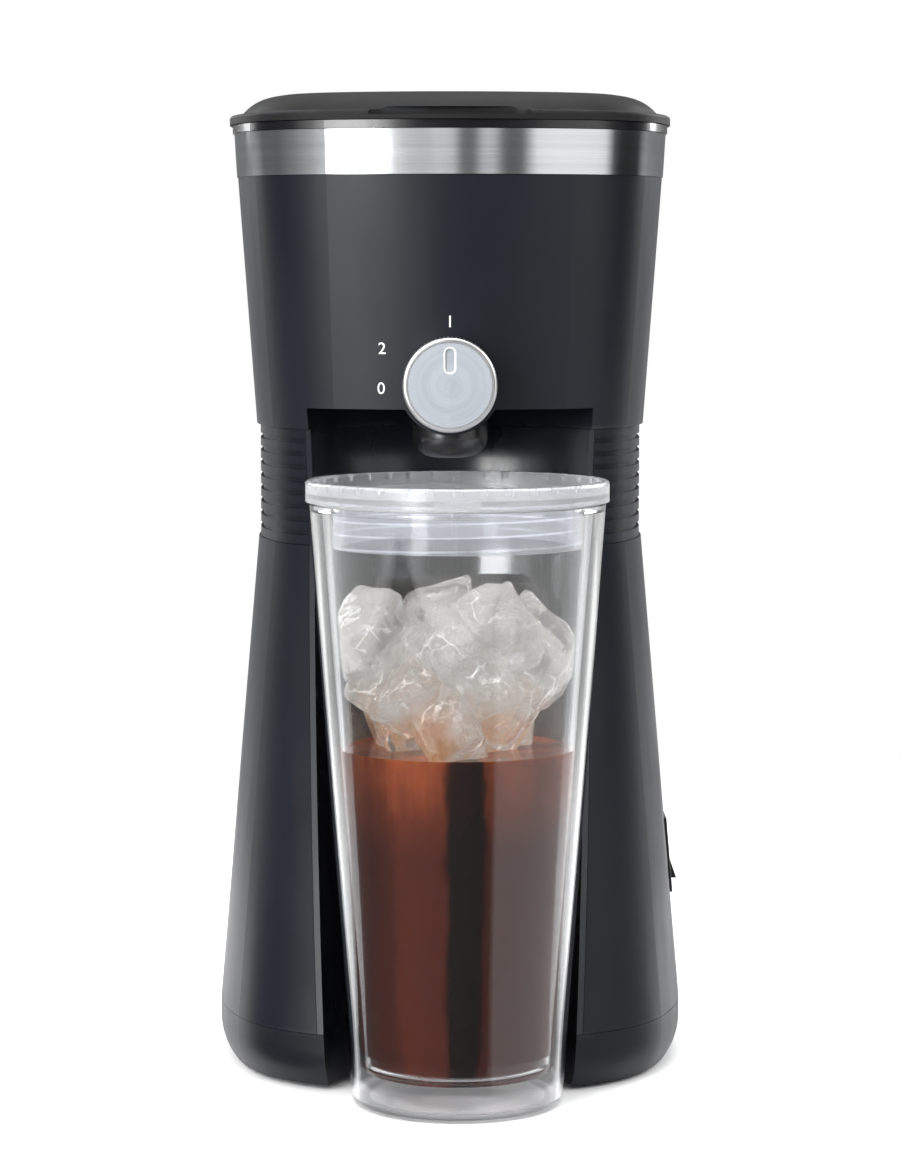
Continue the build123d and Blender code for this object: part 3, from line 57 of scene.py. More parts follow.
def place(x: float, y: float, z: float) -> Vector:
    """Turn a place in the machine's own plan, in millimetres, into the shared frame.

    Args:
        x: Distance to the right of the machine's axis.
        y: Distance behind the machine's axis.
        z: Height above the counter.

    Returns:
        The place in metres.
    """
    return Vector((x * MM, (y + MACHINE_Y) * MM, z * MM))


def shaded(colour: Colour, share: float) -> Colour:
    """Scale the brightness of a colour."""
    return tuple(channel * share for channel in colour)


class Tree:
    """A node tree with short ways to add nodes and join them."""

    def __init__(self, tree: bpy.types.NodeTree) -> None:
        """Wrap a node tree.

        Args:
            tree: The tree of a material, a world or a node group.
        """
        self.tree = tree

    def add(self, kind: str, inputs: dict[str | int, Value] | None = None, **settings: object) -> bpy.types.Node:
        """Add a node, set it up and join its inputs.

        Args:
            kind: Type name of the node.
            inputs: Values or sockets for its inputs, by name or number.
            settings: Properties of the node.

        Returns:
            The new node.
        """
        node = self.tree.nodes.new(kind)
        for name, value in settings.items():
            setattr(node, name, value)
        for name, value in (inputs or {}).items():
            self.join(node.inputs[name], value)
        return node

    def join(self, socket: bpy.types.NodeSocket, value: Value) -> None:
        """Set an input to a value, or link it to another node's output.

        Args:
            socket: The input.
            value: A number, a list of numbers or an output socket.
        """
        if isinstance(value, bpy.types.NodeSocket):
            self.tree.links.new(value, socket)
        elif isinstance(value, tuple) and len(value) == 3 and socket.type == "RGBA":
            socket.default_value = (*value, 1.0)
        else:
            socket.default_value = value

    def math(self, operation: str, first: Value, second: Value = 0.0, clamp: bool = False) -> bpy.types.NodeSocket:
        """Add a Math node and return its result."""
        node = self.add("ShaderNodeMath", {0: first, 1: second}, operation=operation, use_clamp=clamp)
        return node.outputs[0]

    def vector(self, operation: str, first: Value, second: Value = (0.0, 0.0, 0.0)) -> bpy.types.NodeSocket:
        """Add a Vector Math node and return its vector."""
        return self.add("ShaderNodeVectorMath", {0: first, 1: second}, operation=operation).outputs[0]

    def parts(self, vector: Value) -> bpy.types.bpy_prop_collection:
        """Split a vector and return its X, Y and Z."""
        return self.add("ShaderNodeSeparateXYZ", {0: vector}).outputs

    def range(
        self, value: Value, low: float, high: float, to_low: float = 0.0, to_high: float = 1.0
    ) -> bpy.types.NodeSocket:
        """Map a value smoothly from one range onto another, clamped at both ends.

        Args:
            value: The value to map.
            low: Start of its range.
            high: End of its range.
            to_low: Result at the start.
            to_high: Result at the end.

        Returns:
            The mapped value.
        """
        node = self.add(
            "ShaderNodeMapRange",
            {"Value": value, "From Min": low, "From Max": high, "To Min": to_low, "To Max": to_high},
            interpolation_type="SMOOTHSTEP",
        )
        return node.outputs["Result"]

    def noise(self, vector: Value, scale: Value, detail: float = 4.0, roughness: float = 0.5) -> bpy.types.NodeSocket:
        """Add a Noise texture.

        Args:
            vector: Where the pattern is read.
            scale: Its scale.
            detail: Number of its finer layers.
            roughness: Strength of the finer layers.

        Returns:
            The value of the pattern.
        """
        node = self.add(
            "ShaderNodeTexNoise", {"Vector": vector, "Scale": scale, "Detail": detail, "Roughness": roughness}
        )
        return node.outputs["Fac"]

    def cracks(self, vector: Value, scale: float) -> bpy.types.NodeSocket:
        """Return the distance to the nearest edge of a Voronoi pattern."""
        node = self.add("ShaderNodeTexVoronoi", {"Vector": vector, "Scale": scale}, feature="DISTANCE_TO_EDGE")
        return node.outputs["Distance"]

    def mix(self, factor: Value, first: Value, second: Value) -> bpy.types.NodeSocket:
        """Mix two colours and return the result.

        Args:
            factor: Share of the second colour.
            first: First colour.
            second: Second colour.

        Returns:
            The mixed colour.
        """
        node = self.add("ShaderNodeMix", data_type="RGBA", blend_type="MIX")
        self.join(node.inputs[0], factor)
        self.join(node.inputs[6], first)
        self.join(node.inputs[7], second)
        return node.outputs[2]

    def bearing(self, parts: bpy.types.bpy_prop_collection) -> bpy.types.NodeSocket:
        """Return the bearing of a split vector in radians, nought in front and growing to the right."""
        return self.math("ARCTAN2", parts["X"], self.math("MULTIPLY", parts["Y"], -1.0))

    def turn_share(self, bearing: Value) -> bpy.types.NodeSocket:
        """Turn a bearing into a share of the full turn, starting from behind."""
        return self.math("ADD", self.math("DIVIDE", bearing, math.tau), 0.5)

    def ring(self, share: Value, stops: Pairs) -> bpy.types.NodeSocket:
        """Make a strength that changes round an upright axis.

        Args:
            share: Bearing as a share of the full turn, from behind, past the left and the front.
            stops: Bearings in degrees, from behind, with their strength.

        Returns:
            The strength.
        """
        ramp = self.add("ShaderNodeValToRGB", {0: share})
        marks = ramp.color_ramp.elements
        while len(marks) > 1:
            marks.remove(marks[-1])
        for number, (angle, strength) in enumerate(stops):
            spot = (angle + 180) / 360
            mark = marks[0] if number == 0 else marks.new(spot)
            mark.position = spot
            mark.color = (strength, strength, strength, 1.0)
        return ramp.outputs["Color"]

    def group(self, effect: bpy.types.NodeTree, inputs: dict[str, Value]) -> bpy.types.Node:
        """Place a node group with its own values.

        Args:
            effect: The group.
            inputs: Values or sockets for its inputs, by name.

        Returns:
            The group's node.
        """
        node = self.tree.nodes.new("ShaderNodeGroup")
        node.node_tree = effect
        for name, value in inputs.items():
            self.join(node.inputs[name], value)
        return node


NUMBER, VECTOR = "NodeSocketFloat", "NodeSocketVector"


def new_effect(
    name: str, inputs: dict[str, str], outputs: dict[str, str]
) -> tuple[Tree, bpy.types.Node, bpy.types.Node]:
    """Start a shader node group.

    Args:
        name: Name of the effect.
        inputs: Socket type of each input, by name.
        outputs: Socket type of each output, by name.

    Returns:
        The group's tree, its input node and its output node.
    """
    tree = bpy.data.node_groups.new(name, "ShaderNodeTree")
    for socket, kind in inputs.items():
        tree.interface.new_socket(name=socket, in_out="INPUT", socket_type=kind)
    for socket, kind in outputs.items():
        tree.interface.new_socket(name=socket, in_out="OUTPUT", socket_type=kind)
    wrapped = Tree(tree)
    return wrapped, wrapped.add("NodeGroupInput"), wrapped.add("NodeGroupOutput")


def moulded_grain() -> bpy.types.NodeTree:
    """Fine texture of a moulding tool, with faint flow marks.

    Returns:
        The group: Vector and Scale in, Height and Shade out.
    """
    tree, start, end = new_effect(
        "moulded_grain", {"Vector": VECTOR, "Scale": NUMBER}, {"Height": NUMBER, "Shade": NUMBER}
    )
    vector, scale = start.outputs["Vector"], start.outputs["Scale"]
    fine = tree.noise(vector, scale, 2.0)
    pits = tree.add("ShaderNodeTexVoronoi", {"Vector": vector, "Scale": scale}, feature="SMOOTH_F1")
    flow = tree.noise(vector, 22.0, 3.0)
    grains = tree.math("MULTIPLY", fine, 0.6)
    height = tree.math("ADD", grains, tree.math("MULTIPLY", pits.outputs["Distance"], 0.4))
    tree.join(end.inputs["Height"], height)
    tree.join(end.inputs["Shade"], tree.range(flow, 0.35, 0.65))
    return tree.tree


def handling_marks() -> bpy.types.NodeTree:
    """Soft smudges and faint wipes that handling leaves.

    Returns:
        The group: Vector in, Smudge out.
    """
    tree, start, end = new_effect("handling_marks", {"Vector": VECTOR}, {"Smudge": NUMBER})
    vector = start.outputs["Vector"]
    broad = tree.noise(vector, 14.0, 5.0, 0.6)
    along = {"Vector": vector, "Scale": (30.0, 30.0, 5.0), "Rotation": (0.3, 0.5, 0.2)}
    wipes = tree.noise(tree.add("ShaderNodeMapping", along).outputs["Vector"], 1.6, 5.0, 0.65)
    tree.join(end.inputs["Smudge"], tree.range(tree.math("MULTIPLY", broad, wipes), 0.18, 0.36))
    return tree.tree


def settled_dust() -> bpy.types.NodeTree:
    """Fine dust that lies on what faces up.

    Returns:
        The group: Vector and Amount in, Dust out.
    """
    tree, start, end = new_effect("settled_dust", {"Vector": VECTOR, "Amount": NUMBER}, {"Dust": NUMBER})
    vector = start.outputs["Vector"]
    upward = tree.parts(tree.add("ShaderNodeNewGeometry").outputs["Normal"])["Z"]
    specks = tree.range(tree.noise(vector, 900.0, 3.0, 0.7), 0.5, 0.72)
    film = tree.range(tree.noise(vector, 30.0, 4.0), 0.3, 0.8)
    lying = tree.math("MULTIPLY", tree.range(upward, 0.4, 1.0), tree.math("ADD", specks, film))
    tree.join(end.inputs["Dust"], tree.math("MULTIPLY", lying, start.outputs["Amount"], clamp=True))
    return tree.tree


def painted_seam_highlight() -> bpy.types.NodeTree:
    """Painted highlight: a lighter line along a level seam edge, broken up along its length.

    Returns:
        The group: Vector, Height and Width in, Rub out.
    """
    tree, start, end = new_effect(
        "painted_seam_highlight", {"Vector": VECTOR, "Height": NUMBER, "Width": NUMBER}, {"Highlight": NUMBER}
    )
    level = tree.parts(start.outputs["Vector"])["Z"]
    away = tree.math("ABSOLUTE", tree.math("SUBTRACT", level, start.outputs["Height"]))
    near = tree.math("SUBTRACT", 1.0, tree.math("DIVIDE", away, start.outputs["Width"]), clamp=True)
    patches = tree.range(tree.noise(start.outputs["Vector"], 60.0, 5.0, 0.7), 0.42, 0.62)
    tree.join(end.inputs["Highlight"], tree.math("MULTIPLY", near, patches))
    return tree.tree


def brushed_lines() -> bpy.types.NodeTree:
    """Fine brushing lines along a stretched vector.

    Returns:
        The group: Vector in, already stretched along the lines, Line and Tone out.
    """
    tree, start, end = new_effect("brushed_lines", {"Vector": VECTOR}, {"Line": NUMBER, "Tone": NUMBER})
    vector = start.outputs["Vector"]
    tree.join(end.inputs["Line"], tree.noise(vector, 1.0, 6.0, 0.75))
    tree.join(end.inputs["Tone"], tree.range(tree.noise(vector, 0.12, 3.0, 0.6), 0.3, 0.7))
    return tree.tree


EFFECTS: dict[str, bpy.types.NodeTree] = {
    "grain": moulded_grain(),
    "marks": handling_marks(),
    "dust": settled_dust(),
    "highlight": painted_seam_highlight(),
    "brushed": brushed_lines(),
}


class Lines(Enum):
    """Direction of a metal's fine lines, as the stretch of their pattern."""

    LEVEL = (14.0, 14.0, 2600.0)
    UPRIGHT = (2600.0, 2600.0, 14.0)
    TURNED = (2600.0, 0.6, 0.0)


class Finish:
    """A surface finish that makes one material."""

    name: str

    def start(self) -> tuple[bpy.types.Material, Tree, bpy.types.NodeSocket, bpy.types.Node]:
        """Make an empty material.

        Returns:
            The material, its tree, the object vector and the Principled node.
        """
        material = bpy.data.materials.new(self.name)
        material.use_nodes = True
        tree = Tree(material.node_tree)
        shader = material.node_tree.nodes["Principled BSDF"]
        vector = tree.add("ShaderNodeTexCoord").outputs["Object"]
        return material, tree, vector, shader

    def bump(self, tree: Tree, height: Value, strength: float, distance: float, shader: bpy.types.Node) -> None:
        """Feed a height to the shader's normal.

        Args:
            tree: The material's tree.
            height: The height.
            strength: Strength of the bump.
            distance: Depth of the bump in metres.
            shader: The Principled node.
        """
        node = tree.add("ShaderNodeBump", {"Height": height, "Strength": strength, "Distance": distance})
        tree.join(shader.inputs["Normal"], node.outputs["Normal"])


@dataclass(frozen=True)
class Moulded(Finish):
    """Moulded plastic or rubber, with its grain, smudges, dust and a painted highlight along a level seam edge at a
    given height.
    """

    name: str
    colour: Colour
    shade: Colour
    roughness: float
    smudge: float = 0.08
    grain_scale: float = 2600.0
    grain_depth: float = 0.00004
    grain_strength: float = 0.25
    specular: float = 0.5
    coat: float = 0.0
    coat_roughness: float = 0.06
    dust: float = 0.06
    dust_roughness: float = 0.4
    # Height, width, share and colour of the painted highlight, a lighter line along a seam edge.
    highlight_height: float = -1.0
    highlight_width: float = 0.0012
    highlight_share: float = 0.3
    highlight_colour: Colour = (0.04, 0.042, 0.048)

    def material(self) -> bpy.types.Material:
        """Build the material.

        Returns:
            The new material.
        """
        material, tree, vector, shader = self.start()
        grain = tree.group(EFFECTS["grain"], {"Vector": vector, "Scale": self.grain_scale})
        smudge = tree.group(EFFECTS["marks"], {"Vector": vector}).outputs["Smudge"]
        dust = tree.group(EFFECTS["dust"], {"Vector": vector, "Amount": self.dust}).outputs["Dust"]
        # Painted highlight: the colour is lightened along the seam edge.
        edge = {"Vector": vector, "Height": self.highlight_height, "Width": self.highlight_width}
        highlight = tree.group(EFFECTS["highlight"], edge).outputs["Highlight"]
        colour = tree.mix(grain.outputs["Shade"], self.colour, self.shade)
        colour = tree.mix(tree.math("MULTIPLY", highlight, self.highlight_share), colour, self.highlight_colour)
        colour = tree.mix(dust, colour, DUST_COLOUR)
        rough = tree.math("ADD", self.roughness, tree.math("MULTIPLY", smudge, self.smudge))
        rough = tree.math("ADD", rough, tree.math("MULTIPLY", dust, self.dust_roughness), clamp=True)
        tree.join(shader.inputs["Base Color"], colour)
        tree.join(shader.inputs["Roughness"], rough)
        shader.inputs["Specular IOR Level"].default_value = self.specular
        if self.coat > 0:
            tree.join(shader.inputs["Coat Weight"], tree.range(smudge, 0.0, 1.0, self.coat, self.coat * 0.7))
            shader.inputs["Coat Roughness"].default_value = self.coat_roughness
        self.bump(tree, grain.outputs["Height"], self.grain_strength, self.grain_depth, shader)
        return material


@dataclass(frozen=True)
class Metal(Finish):
    """Bare metal with fine lines, patches of tone and smudges.

    A slot gives the half width and the lower and upper end of a pointer's slot in metres, from the center. A
    highlight is painted round its edge.
    """

    name: str
    colour: Colour
    roughness: float
    lines: Lines = Lines.LEVEL
    center: Point = (0.0, 0.0, 0.0)
    depth: float = 0.00002
    strength: float = 0.3
    metallic: float = 1.0
    line_roughness: float = 0.08
    smudge: float = 0.07
    slot: Point | None = None

    def material(self) -> bpy.types.Material:
        """Build the material.

        Returns:
            The new material.
        """
        material, tree, vector, shader = self.start()
        brushed = tree.group(EFFECTS["brushed"], {"Vector": self.stretched(tree, vector)})
        smudge = tree.group(EFFECTS["marks"], {"Vector": vector}).outputs["Smudge"]
        tone = tree.mix(brushed.outputs["Tone"], shaded(self.colour, 0.86), self.colour)
        dark_lines = tree.range(brushed.outputs["Line"], 0.35, 0.65, 0.0, 0.22)
        tone = tree.mix(dark_lines, tone, shaded(self.colour, 0.62))
        # Painted highlight round the edge of the pointer's slot.
        if self.slot:
            tone = tree.mix(self.slot_edge(tree, vector), tone, SLOT_HIGHLIGHT_SILVER)
        rough = tree.math("MULTIPLY", brushed.outputs["Line"], self.line_roughness)
        rough = tree.math("ADD", self.roughness, rough)
        rough = tree.math("ADD", rough, tree.math("MULTIPLY", smudge, self.smudge), clamp=True)
        tree.join(shader.inputs["Base Color"], tone)
        tree.join(shader.inputs["Roughness"], rough)
        shader.inputs["Metallic"].default_value = self.metallic
        self.bump(tree, brushed.outputs["Line"], self.strength, self.depth, shader)
        return material

    def stretched(self, tree: Tree, vector: Value) -> bpy.types.NodeSocket:
        """Stretch the object vector along the lines.

        Args:
            tree: The material's tree.
            vector: The object vector.

        Returns:
            The stretched vector.
        """
        if self.lines is not Lines.TURNED:
            return tree.vector("MULTIPLY", vector, self.lines.value)
        parts = tree.parts(tree.vector("SUBTRACT", vector, self.center))
        squares = [tree.math("POWER", parts[axis], 2.0) for axis in "XZ"]
        out = tree.math("SQRT", tree.math("ADD", *squares))
        angle = tree.math("ARCTAN2", parts["X"], parts["Z"])
        across, along, _ = self.lines.value
        turned = {"X": tree.math("MULTIPLY", out, across), "Y": tree.math("MULTIPLY", angle, along)}
        return tree.add("ShaderNodeCombineXYZ", turned).outputs[0]

    def slot_edge(self, tree: Tree, vector: Value) -> bpy.types.NodeSocket:
        """Mask the painted highlight along the edge of the pointer's slot.

        Args:
            tree: The material's tree.
            vector: The object vector.

        Returns:
            The mask.
        """
        half, low, high = self.slot
        parts = tree.parts(tree.vector("SUBTRACT", vector, self.center))
        within = tree.math("MINIMUM", tree.math("MAXIMUM", parts["Z"], low), high)
        beyond = tree.math("SUBTRACT", parts["Z"], within)
        squares = [tree.math("POWER", side, 2.0) for side in (parts["X"], beyond)]
        away = tree.math("SQRT", tree.math("ADD", *squares))
        off = tree.math("ABSOLUTE", tree.math("SUBTRACT", away, half))
        return tree.range(off, 0.0004, 0.0001)


@dataclass(frozen=True)
class Cast(Finish):
    """Sand-cast or die-cast metal with a coarse skin."""

    name: str
    colour: Colour
    roughness: float = 0.55
    scale: float = 700.0
    depth: float = 0.00015

    def material(self) -> bpy.types.Material:
        """Build the material.

        Returns:
            The new material.
        """
        material, tree, vector, shader = self.start()
        skin = tree.noise(vector, self.scale, 6.0, 0.7)
        stain = tree.range(tree.noise(vector, 45.0, 4.0, 0.6), 0.35, 0.65)
        tree.join(shader.inputs["Base Color"], tree.mix(stain, self.colour, shaded(self.colour, 0.7)))
        rough = tree.range(skin, 0.2, 0.8, self.roughness - 0.1, self.roughness + 0.15)
        tree.join(shader.inputs["Roughness"], rough)
        shader.inputs["Metallic"].default_value = 0.9
        self.bump(tree, skin, 0.5, self.depth, shader)
        return material


@dataclass(frozen=True)
class Clear(Finish):
    """Clear plastic, with mould flow and fine scratches.

    Below a given height the thick foot gets a painted glow. frost clouds what is above frost_foot; the rim gets a
    faint painted glow, and below it the skirt gets a stronger one and the crests of a thread of this pitch painted
    glints.
    """

    name: str
    colour: Colour = (0.985, 0.99, 0.995)
    ior: float = 1.49
    roughness: float = 0.015
    haze: float = 0.03
    depth: float = 0.00003
    frost: float = 0.0
    frost_foot: float = 0.0
    glow: float = 0.0
    foot_glow_height: float = 0.0
    pitch: float = 0.004
    center: Point = (0.0, 0.0, 0.0)
    clarity: float = 1.0
    specular: float = 0.5
    painted_rim_glow: float = 0.06
    painted_skirt_glow: float = 0.28

    def material(self) -> bpy.types.Material:
        """Build the material.

        Returns:
            The new material.
        """
        material, tree, vector, shader = self.start()
        flow = tree.noise(vector, 28.0, 3.0)
        along = {"Vector": vector, "Scale": (220.0, 220.0, 40.0), "Rotation": (0.1, 0.25, 0.0)}
        fine = tree.noise(tree.add("ShaderNodeMapping", along).outputs[0], 4.0, 6.0, 0.8)
        scratches = tree.range(fine, 0.62, 0.7)
        tone = tree.mix(tree.range(flow, 0.3, 0.7), self.colour, shaded(self.colour, 0.985))
        tree.join(shader.inputs["Base Color"], tone)
        rough = tree.math("ADD", self.roughness, tree.math("MULTIPLY", scratches, self.haze))
        if self.foot_glow_height > 0:
            self.paint_foot_glow(tree, vector, flow, shader)
        if self.frost > 0:
            frosted = tree.range(tree.parts(vector)["Z"], self.frost_foot - 0.0004, self.frost_foot)
            etched = tree.range(tree.noise(vector, 1400.0, 3.0), 0.3, 0.7, self.frost * 0.7, self.frost)
            rough = tree.math("ADD", rough, tree.math("MULTIPLY", frosted, etched))
            self.paint_thread_glints(tree, vector, frosted, shader)
        tree.join(shader.inputs["Roughness"], rough)
        shader.inputs["IOR"].default_value = self.ior
        shader.inputs["Transmission Weight"].default_value = self.clarity
        shader.inputs["Specular IOR Level"].default_value = self.specular
        self.bump(tree, flow, 0.2, self.depth, shader)
        return material

    def paint_foot_glow(self, tree: Tree, vector: Value, flow: Value, shader: bpy.types.Node) -> None:
        """Give the thick foot a painted glow, as if it caught the light.

        Args:
            tree: The material's tree.
            vector: The object vector.
            flow: The plastic's flow marks.
            shader: The Principled node.
        """
        # Painted glow on the foot, given off as light.
        low = tree.range(tree.parts(vector)["Z"], self.foot_glow_height, self.foot_glow_height - 0.002)
        painted_glow = tree.math("MULTIPLY", low, tree.range(flow, 0.3, 0.7, 0.6, 1.0))
        tree.join(shader.inputs["Emission Color"], tree.mix(painted_glow, UNLIT, (0.95, 0.95, 0.97)))
        shader.inputs["Emission Strength"].default_value = self.glow

    def paint_thread_glints(self, tree: Tree, vector: Value, frosted: Value, shader: bpy.types.Node) -> None:
        """Paint a glow on the rim and the skirt, and glints on the crests of the thread, given off as light.

        Args:
            tree: The material's tree.
            vector: The object vector.
            frosted: Mask of the frosted part.
            shader: The Principled node.
        """
        parts = tree.parts(tree.vector("SUBTRACT", vector, self.center))
        turned = tree.math("DIVIDE", tree.math("ARCTAN2", parts["Y"], parts["X"]), math.tau)
        climbed = tree.math("DIVIDE", parts["Z"], self.pitch)
        step = tree.math("FRACT", tree.math("SUBTRACT", climbed, turned))
        crest = tree.range(tree.math("ABSOLUTE", tree.math("SUBTRACT", step, 0.5)), 0.11, 0.02)
        patches = tree.noise(tree.vector("MULTIPLY", vector, (60.0, 60.0, 400.0)), 1.0, 3.0)
        thread = tree.math("MULTIPLY", crest, tree.range(patches, 0.38, 0.62, 0.15, 1.0))
        skirt = tree.math("SUBTRACT", 1.0, frosted)
        # Painted glow on the skirt and painted glints on the thread's crests, with a fainter painted glow on the rim.
        below = tree.math("ADD", tree.math("MULTIPLY", thread, skirt), tree.math("MULTIPLY", skirt, self.painted_skirt_glow))
        painted_glow = tree.math("ADD", tree.math("MULTIPLY", frosted, self.painted_rim_glow), below, clamp=True)
        tree.join(shader.inputs["Emission Color"], tree.mix(painted_glow, UNLIT, (0.86, 0.90, 1.0)))
        shader.inputs["Emission Strength"].default_value = self.glow


@dataclass(frozen=True)
class Coffee(Finish):
    """Brewed coffee, near black, with painted light: red brown bands round the cup, drifting amber streaks, a painted
    glow.

    bands gives the painted lightness of the coffee at bearings round the cup, in degrees from behind.
    """

    name: str
    painted_shade_colour: Colour
    warm: Colour
    amber: Colour
    surface: float
    center: Point
    glow: float = 0.6
    bands: Pairs = (
        (-180, 0.2), (-150, 0.8), (-128, 0.3), (-110, 0.5), (-60, 0.35), (-38, 0.55), (-32, 0.95), (-8, 0.8),
        (-4, 0.05), (12, 0.02), (16, 0.45), (50, 0.35), (75, 0.6), (105, 0.3), (130, 0.9), (150, 0.3), (180, 0.2),
    )

    def material(self) -> bpy.types.Material:
        """Build the material.

        Returns:
            The new material.
        """
        material, tree, vector, shader = self.start()
        # Painted light and shade: the colour goes from near black to red brown by bearing round the cup.
        bearing = tree.bearing(tree.parts(tree.vector("SUBTRACT", vector, self.center)))
        wisps = tree.noise(tree.vector("MULTIPLY", vector, (90.0, 90.0, 26.0)), 1.0, 5.0, 0.6)
        wander = tree.math("MULTIPLY", tree.math("SUBTRACT", wisps, 0.5), 0.05)
        band = tree.ring(tree.math("ADD", tree.turn_share(bearing), wander), self.bands)
        colour = tree.mix(band, self.painted_shade_colour, self.warm)
        rise = tree.range(tree.parts(vector)["Z"], self.surface - 0.03, self.surface)
        # Amber streaks near the surface, stronger where the light is painted.
        streaks = tree.math("MULTIPLY", band, tree.range(wisps, 0.3, 0.7, 0.4, 1.0))
        colour = tree.mix(tree.math("MULTIPLY", rise, streaks), colour, self.amber)
        tree.join(shader.inputs["Base Color"], colour)
        # Painted glow: the coffee gives off its own colour as light.
        tree.join(shader.inputs["Emission Color"], colour)
        shader.inputs["Emission Strength"].default_value = self.glow
        tree.join(shader.inputs["Roughness"], tree.range(wisps, 0.3, 0.7, 0.03, 0.09))
        shader.inputs["IOR"].default_value = 1.34
        shader.inputs["Subsurface Weight"].default_value = 0.35
        shader.inputs["Subsurface Radius"].default_value = (0.02, 0.006, 0.002)
        shader.inputs["Subsurface Scale"].default_value = 0.5
        self.bump(tree, wisps, 0.1, 0.0002, shader)
        return material


@dataclass(frozen=True)
class Ice(Finish):
    """What both finishes of the ice share: a warm tint that the coffee gives it, from low up to high."""

    name: str
    tint: Colour
    low: float
    high: float

    def stain(self, tree: Tree, vector: Value, patches: Value) -> bpy.types.NodeSocket:
        """Mask where the coffee tints the ice.

        Args:
            tree: The material's tree.
            vector: The object vector.
            patches: Mask of the patches that take the tint.

        Returns:
            The mask.
        """
        return tree.math("MULTIPLY", tree.range(tree.parts(vector)["Z"], self.high, self.low), patches)


@dataclass(frozen=True)
class IceSkin(Ice):
    """Melting ice: wet and clear, with warm tints low down and a painted glow, brightest along its seams."""

    clear: Colour = (0.98, 0.985, 0.99)
    pale: Colour = (0.14, 0.13, 0.12)
    seam: Colour = (1.0, 0.97, 0.92)
    glow: float = 0.45

    def material(self) -> bpy.types.Material:
        """Build the material.

        Returns:
            The new material.
        """
        material, tree, vector, shader = self.start()
        stain = self.stain(tree, vector, tree.range(tree.noise(vector, 70.0, 4.0), 0.4, 0.6))
        tree.join(shader.inputs["Base Color"], tree.mix(stain, self.clear, self.tint))
        melt = tree.noise(vector, 130.0, 4.0, 0.55)
        chips = tree.add("ShaderNodeTexVoronoi", {"Vector": vector, "Scale": 85.0}).outputs["Distance"]
        tree.join(shader.inputs["Roughness"], tree.range(tree.noise(vector, 90.0, 4.0), 0.45, 0.7, 0.02, 0.15))
        shader.inputs["IOR"].default_value = 1.31
        shader.inputs["Transmission Weight"].default_value = 0.86
        drift = tree.add("ShaderNodeTexNoise", {"Vector": vector, "Scale": 60.0, "Detail": 3.0}).outputs["Color"]
        bent = tree.vector("ADD", vector, tree.vector("MULTIPLY", drift, (0.012, 0.012, 0.012)))
        # Painted glow: bright lines along the seams and a faint glow between them, given off as light.
        seams = tree.range(tree.cracks(bent, 75.0), 0.03, 0.0)
        painted_glow_veins = tree.math("MULTIPLY", seams, tree.range(tree.noise(vector, 110.0, 3.0), 0.5, 0.62))
        painted_glow_between = tree.mix(stain, self.pale, shaded(self.tint, 0.3))
        tree.join(shader.inputs["Emission Color"], tree.mix(painted_glow_veins, painted_glow_between, tree.mix(stain, self.seam, self.tint)))
        shader.inputs["Emission Strength"].default_value = self.glow
        self.bump(tree, tree.math("ADD", melt, chips), 1.0, 0.0016, shader)
        return material


@dataclass(frozen=True)
class IceCloud(Ice):
    """Trapped air and cracks in the middle of an ice piece, with a painted glow."""

    colour: Colour = (0.97, 0.88, 0.78)
    cover: float = 0.92
    glow: float = 0.62

    def material(self) -> bpy.types.Material:
        """Build the material.

        Returns:
            The new material.
        """
        material, tree, vector, shader = self.start()
        cracks = tree.range(tree.cracks(vector, 120.0), 0.045, 0.0, 0.0, 0.7)
        wisps = tree.noise(vector, 75.0, 6.0, 0.68)
        cover = tree.math("MAXIMUM", cracks, tree.range(wisps, 0.44, 0.6))
        stain = self.stain(tree, vector, tree.range(tree.noise(vector, 55.0, 5.0), 0.44, 0.56))
        streaks = tree.range(tree.noise(vector, 42.0, 4.0, 0.6), 0.57, 0.63)
        colour = tree.mix(streaks, tree.mix(stain, self.colour, self.tint), shaded(self.tint, 0.75))
        tree.join(shader.inputs["Base Color"], colour)
        tree.join(shader.inputs["Roughness"], tree.range(wisps, 0.3, 0.7, 0.35, 0.6))
        tree.join(shader.inputs["Alpha"], tree.math("MULTIPLY", cover, self.cover))
        # Painted glow of the cloudy core, given off as light.
        painted_glow = tree.mix(tree.range(wisps, 0.5, 0.7), shaded(self.colour, 0.5), colour)
        tree.join(shader.inputs["Emission Color"], painted_glow)
        shader.inputs["Emission Strength"].default_value = self.glow
        self.bump(tree, wisps, 0.7, 0.0012, shader)
        return material


@dataclass(frozen=True)
class Mesh(Finish):
    """Fine woven or etched filter mesh that lets light through its holes."""

    name: str
    colour: Colour
    pitch: float = 900.0
    center: Point = (0.0, 0.0, 0.0)

    def material(self) -> bpy.types.Material:
        """Build the material.

        Returns:
            The new material.
        """
        material, tree, vector, shader = self.start()
        parts = tree.parts(tree.vector("SUBTRACT", vector, self.center))
        angle = tree.math("ARCTAN2", parts["X"], parts["Y"])
        warp = tree.math("ABSOLUTE", tree.math("SINE", tree.math("MULTIPLY", angle, 120.0)))
        weft = tree.math("ABSOLUTE", tree.math("SINE", tree.math("MULTIPLY", parts["Z"], self.pitch * 3.2)))
        wires = tree.math("MAXIMUM", warp, weft)
        stain = tree.noise(vector, 80.0, 4.0)
        tone = tree.mix(tree.range(stain, 0.4, 0.7), self.colour, shaded(self.colour, 0.8))
        tree.join(shader.inputs["Base Color"], tone)
        tree.join(shader.inputs["Roughness"], tree.range(stain, 0.3, 0.7, 0.25, 0.4))
        tree.join(shader.inputs["Alpha"], tree.range(wires, 0.6, 0.8, 0.35, 1.0))
        shader.inputs["Metallic"].default_value = 1.0
        self.bump(tree, wires, 0.6, 0.0002, shader)
        return material


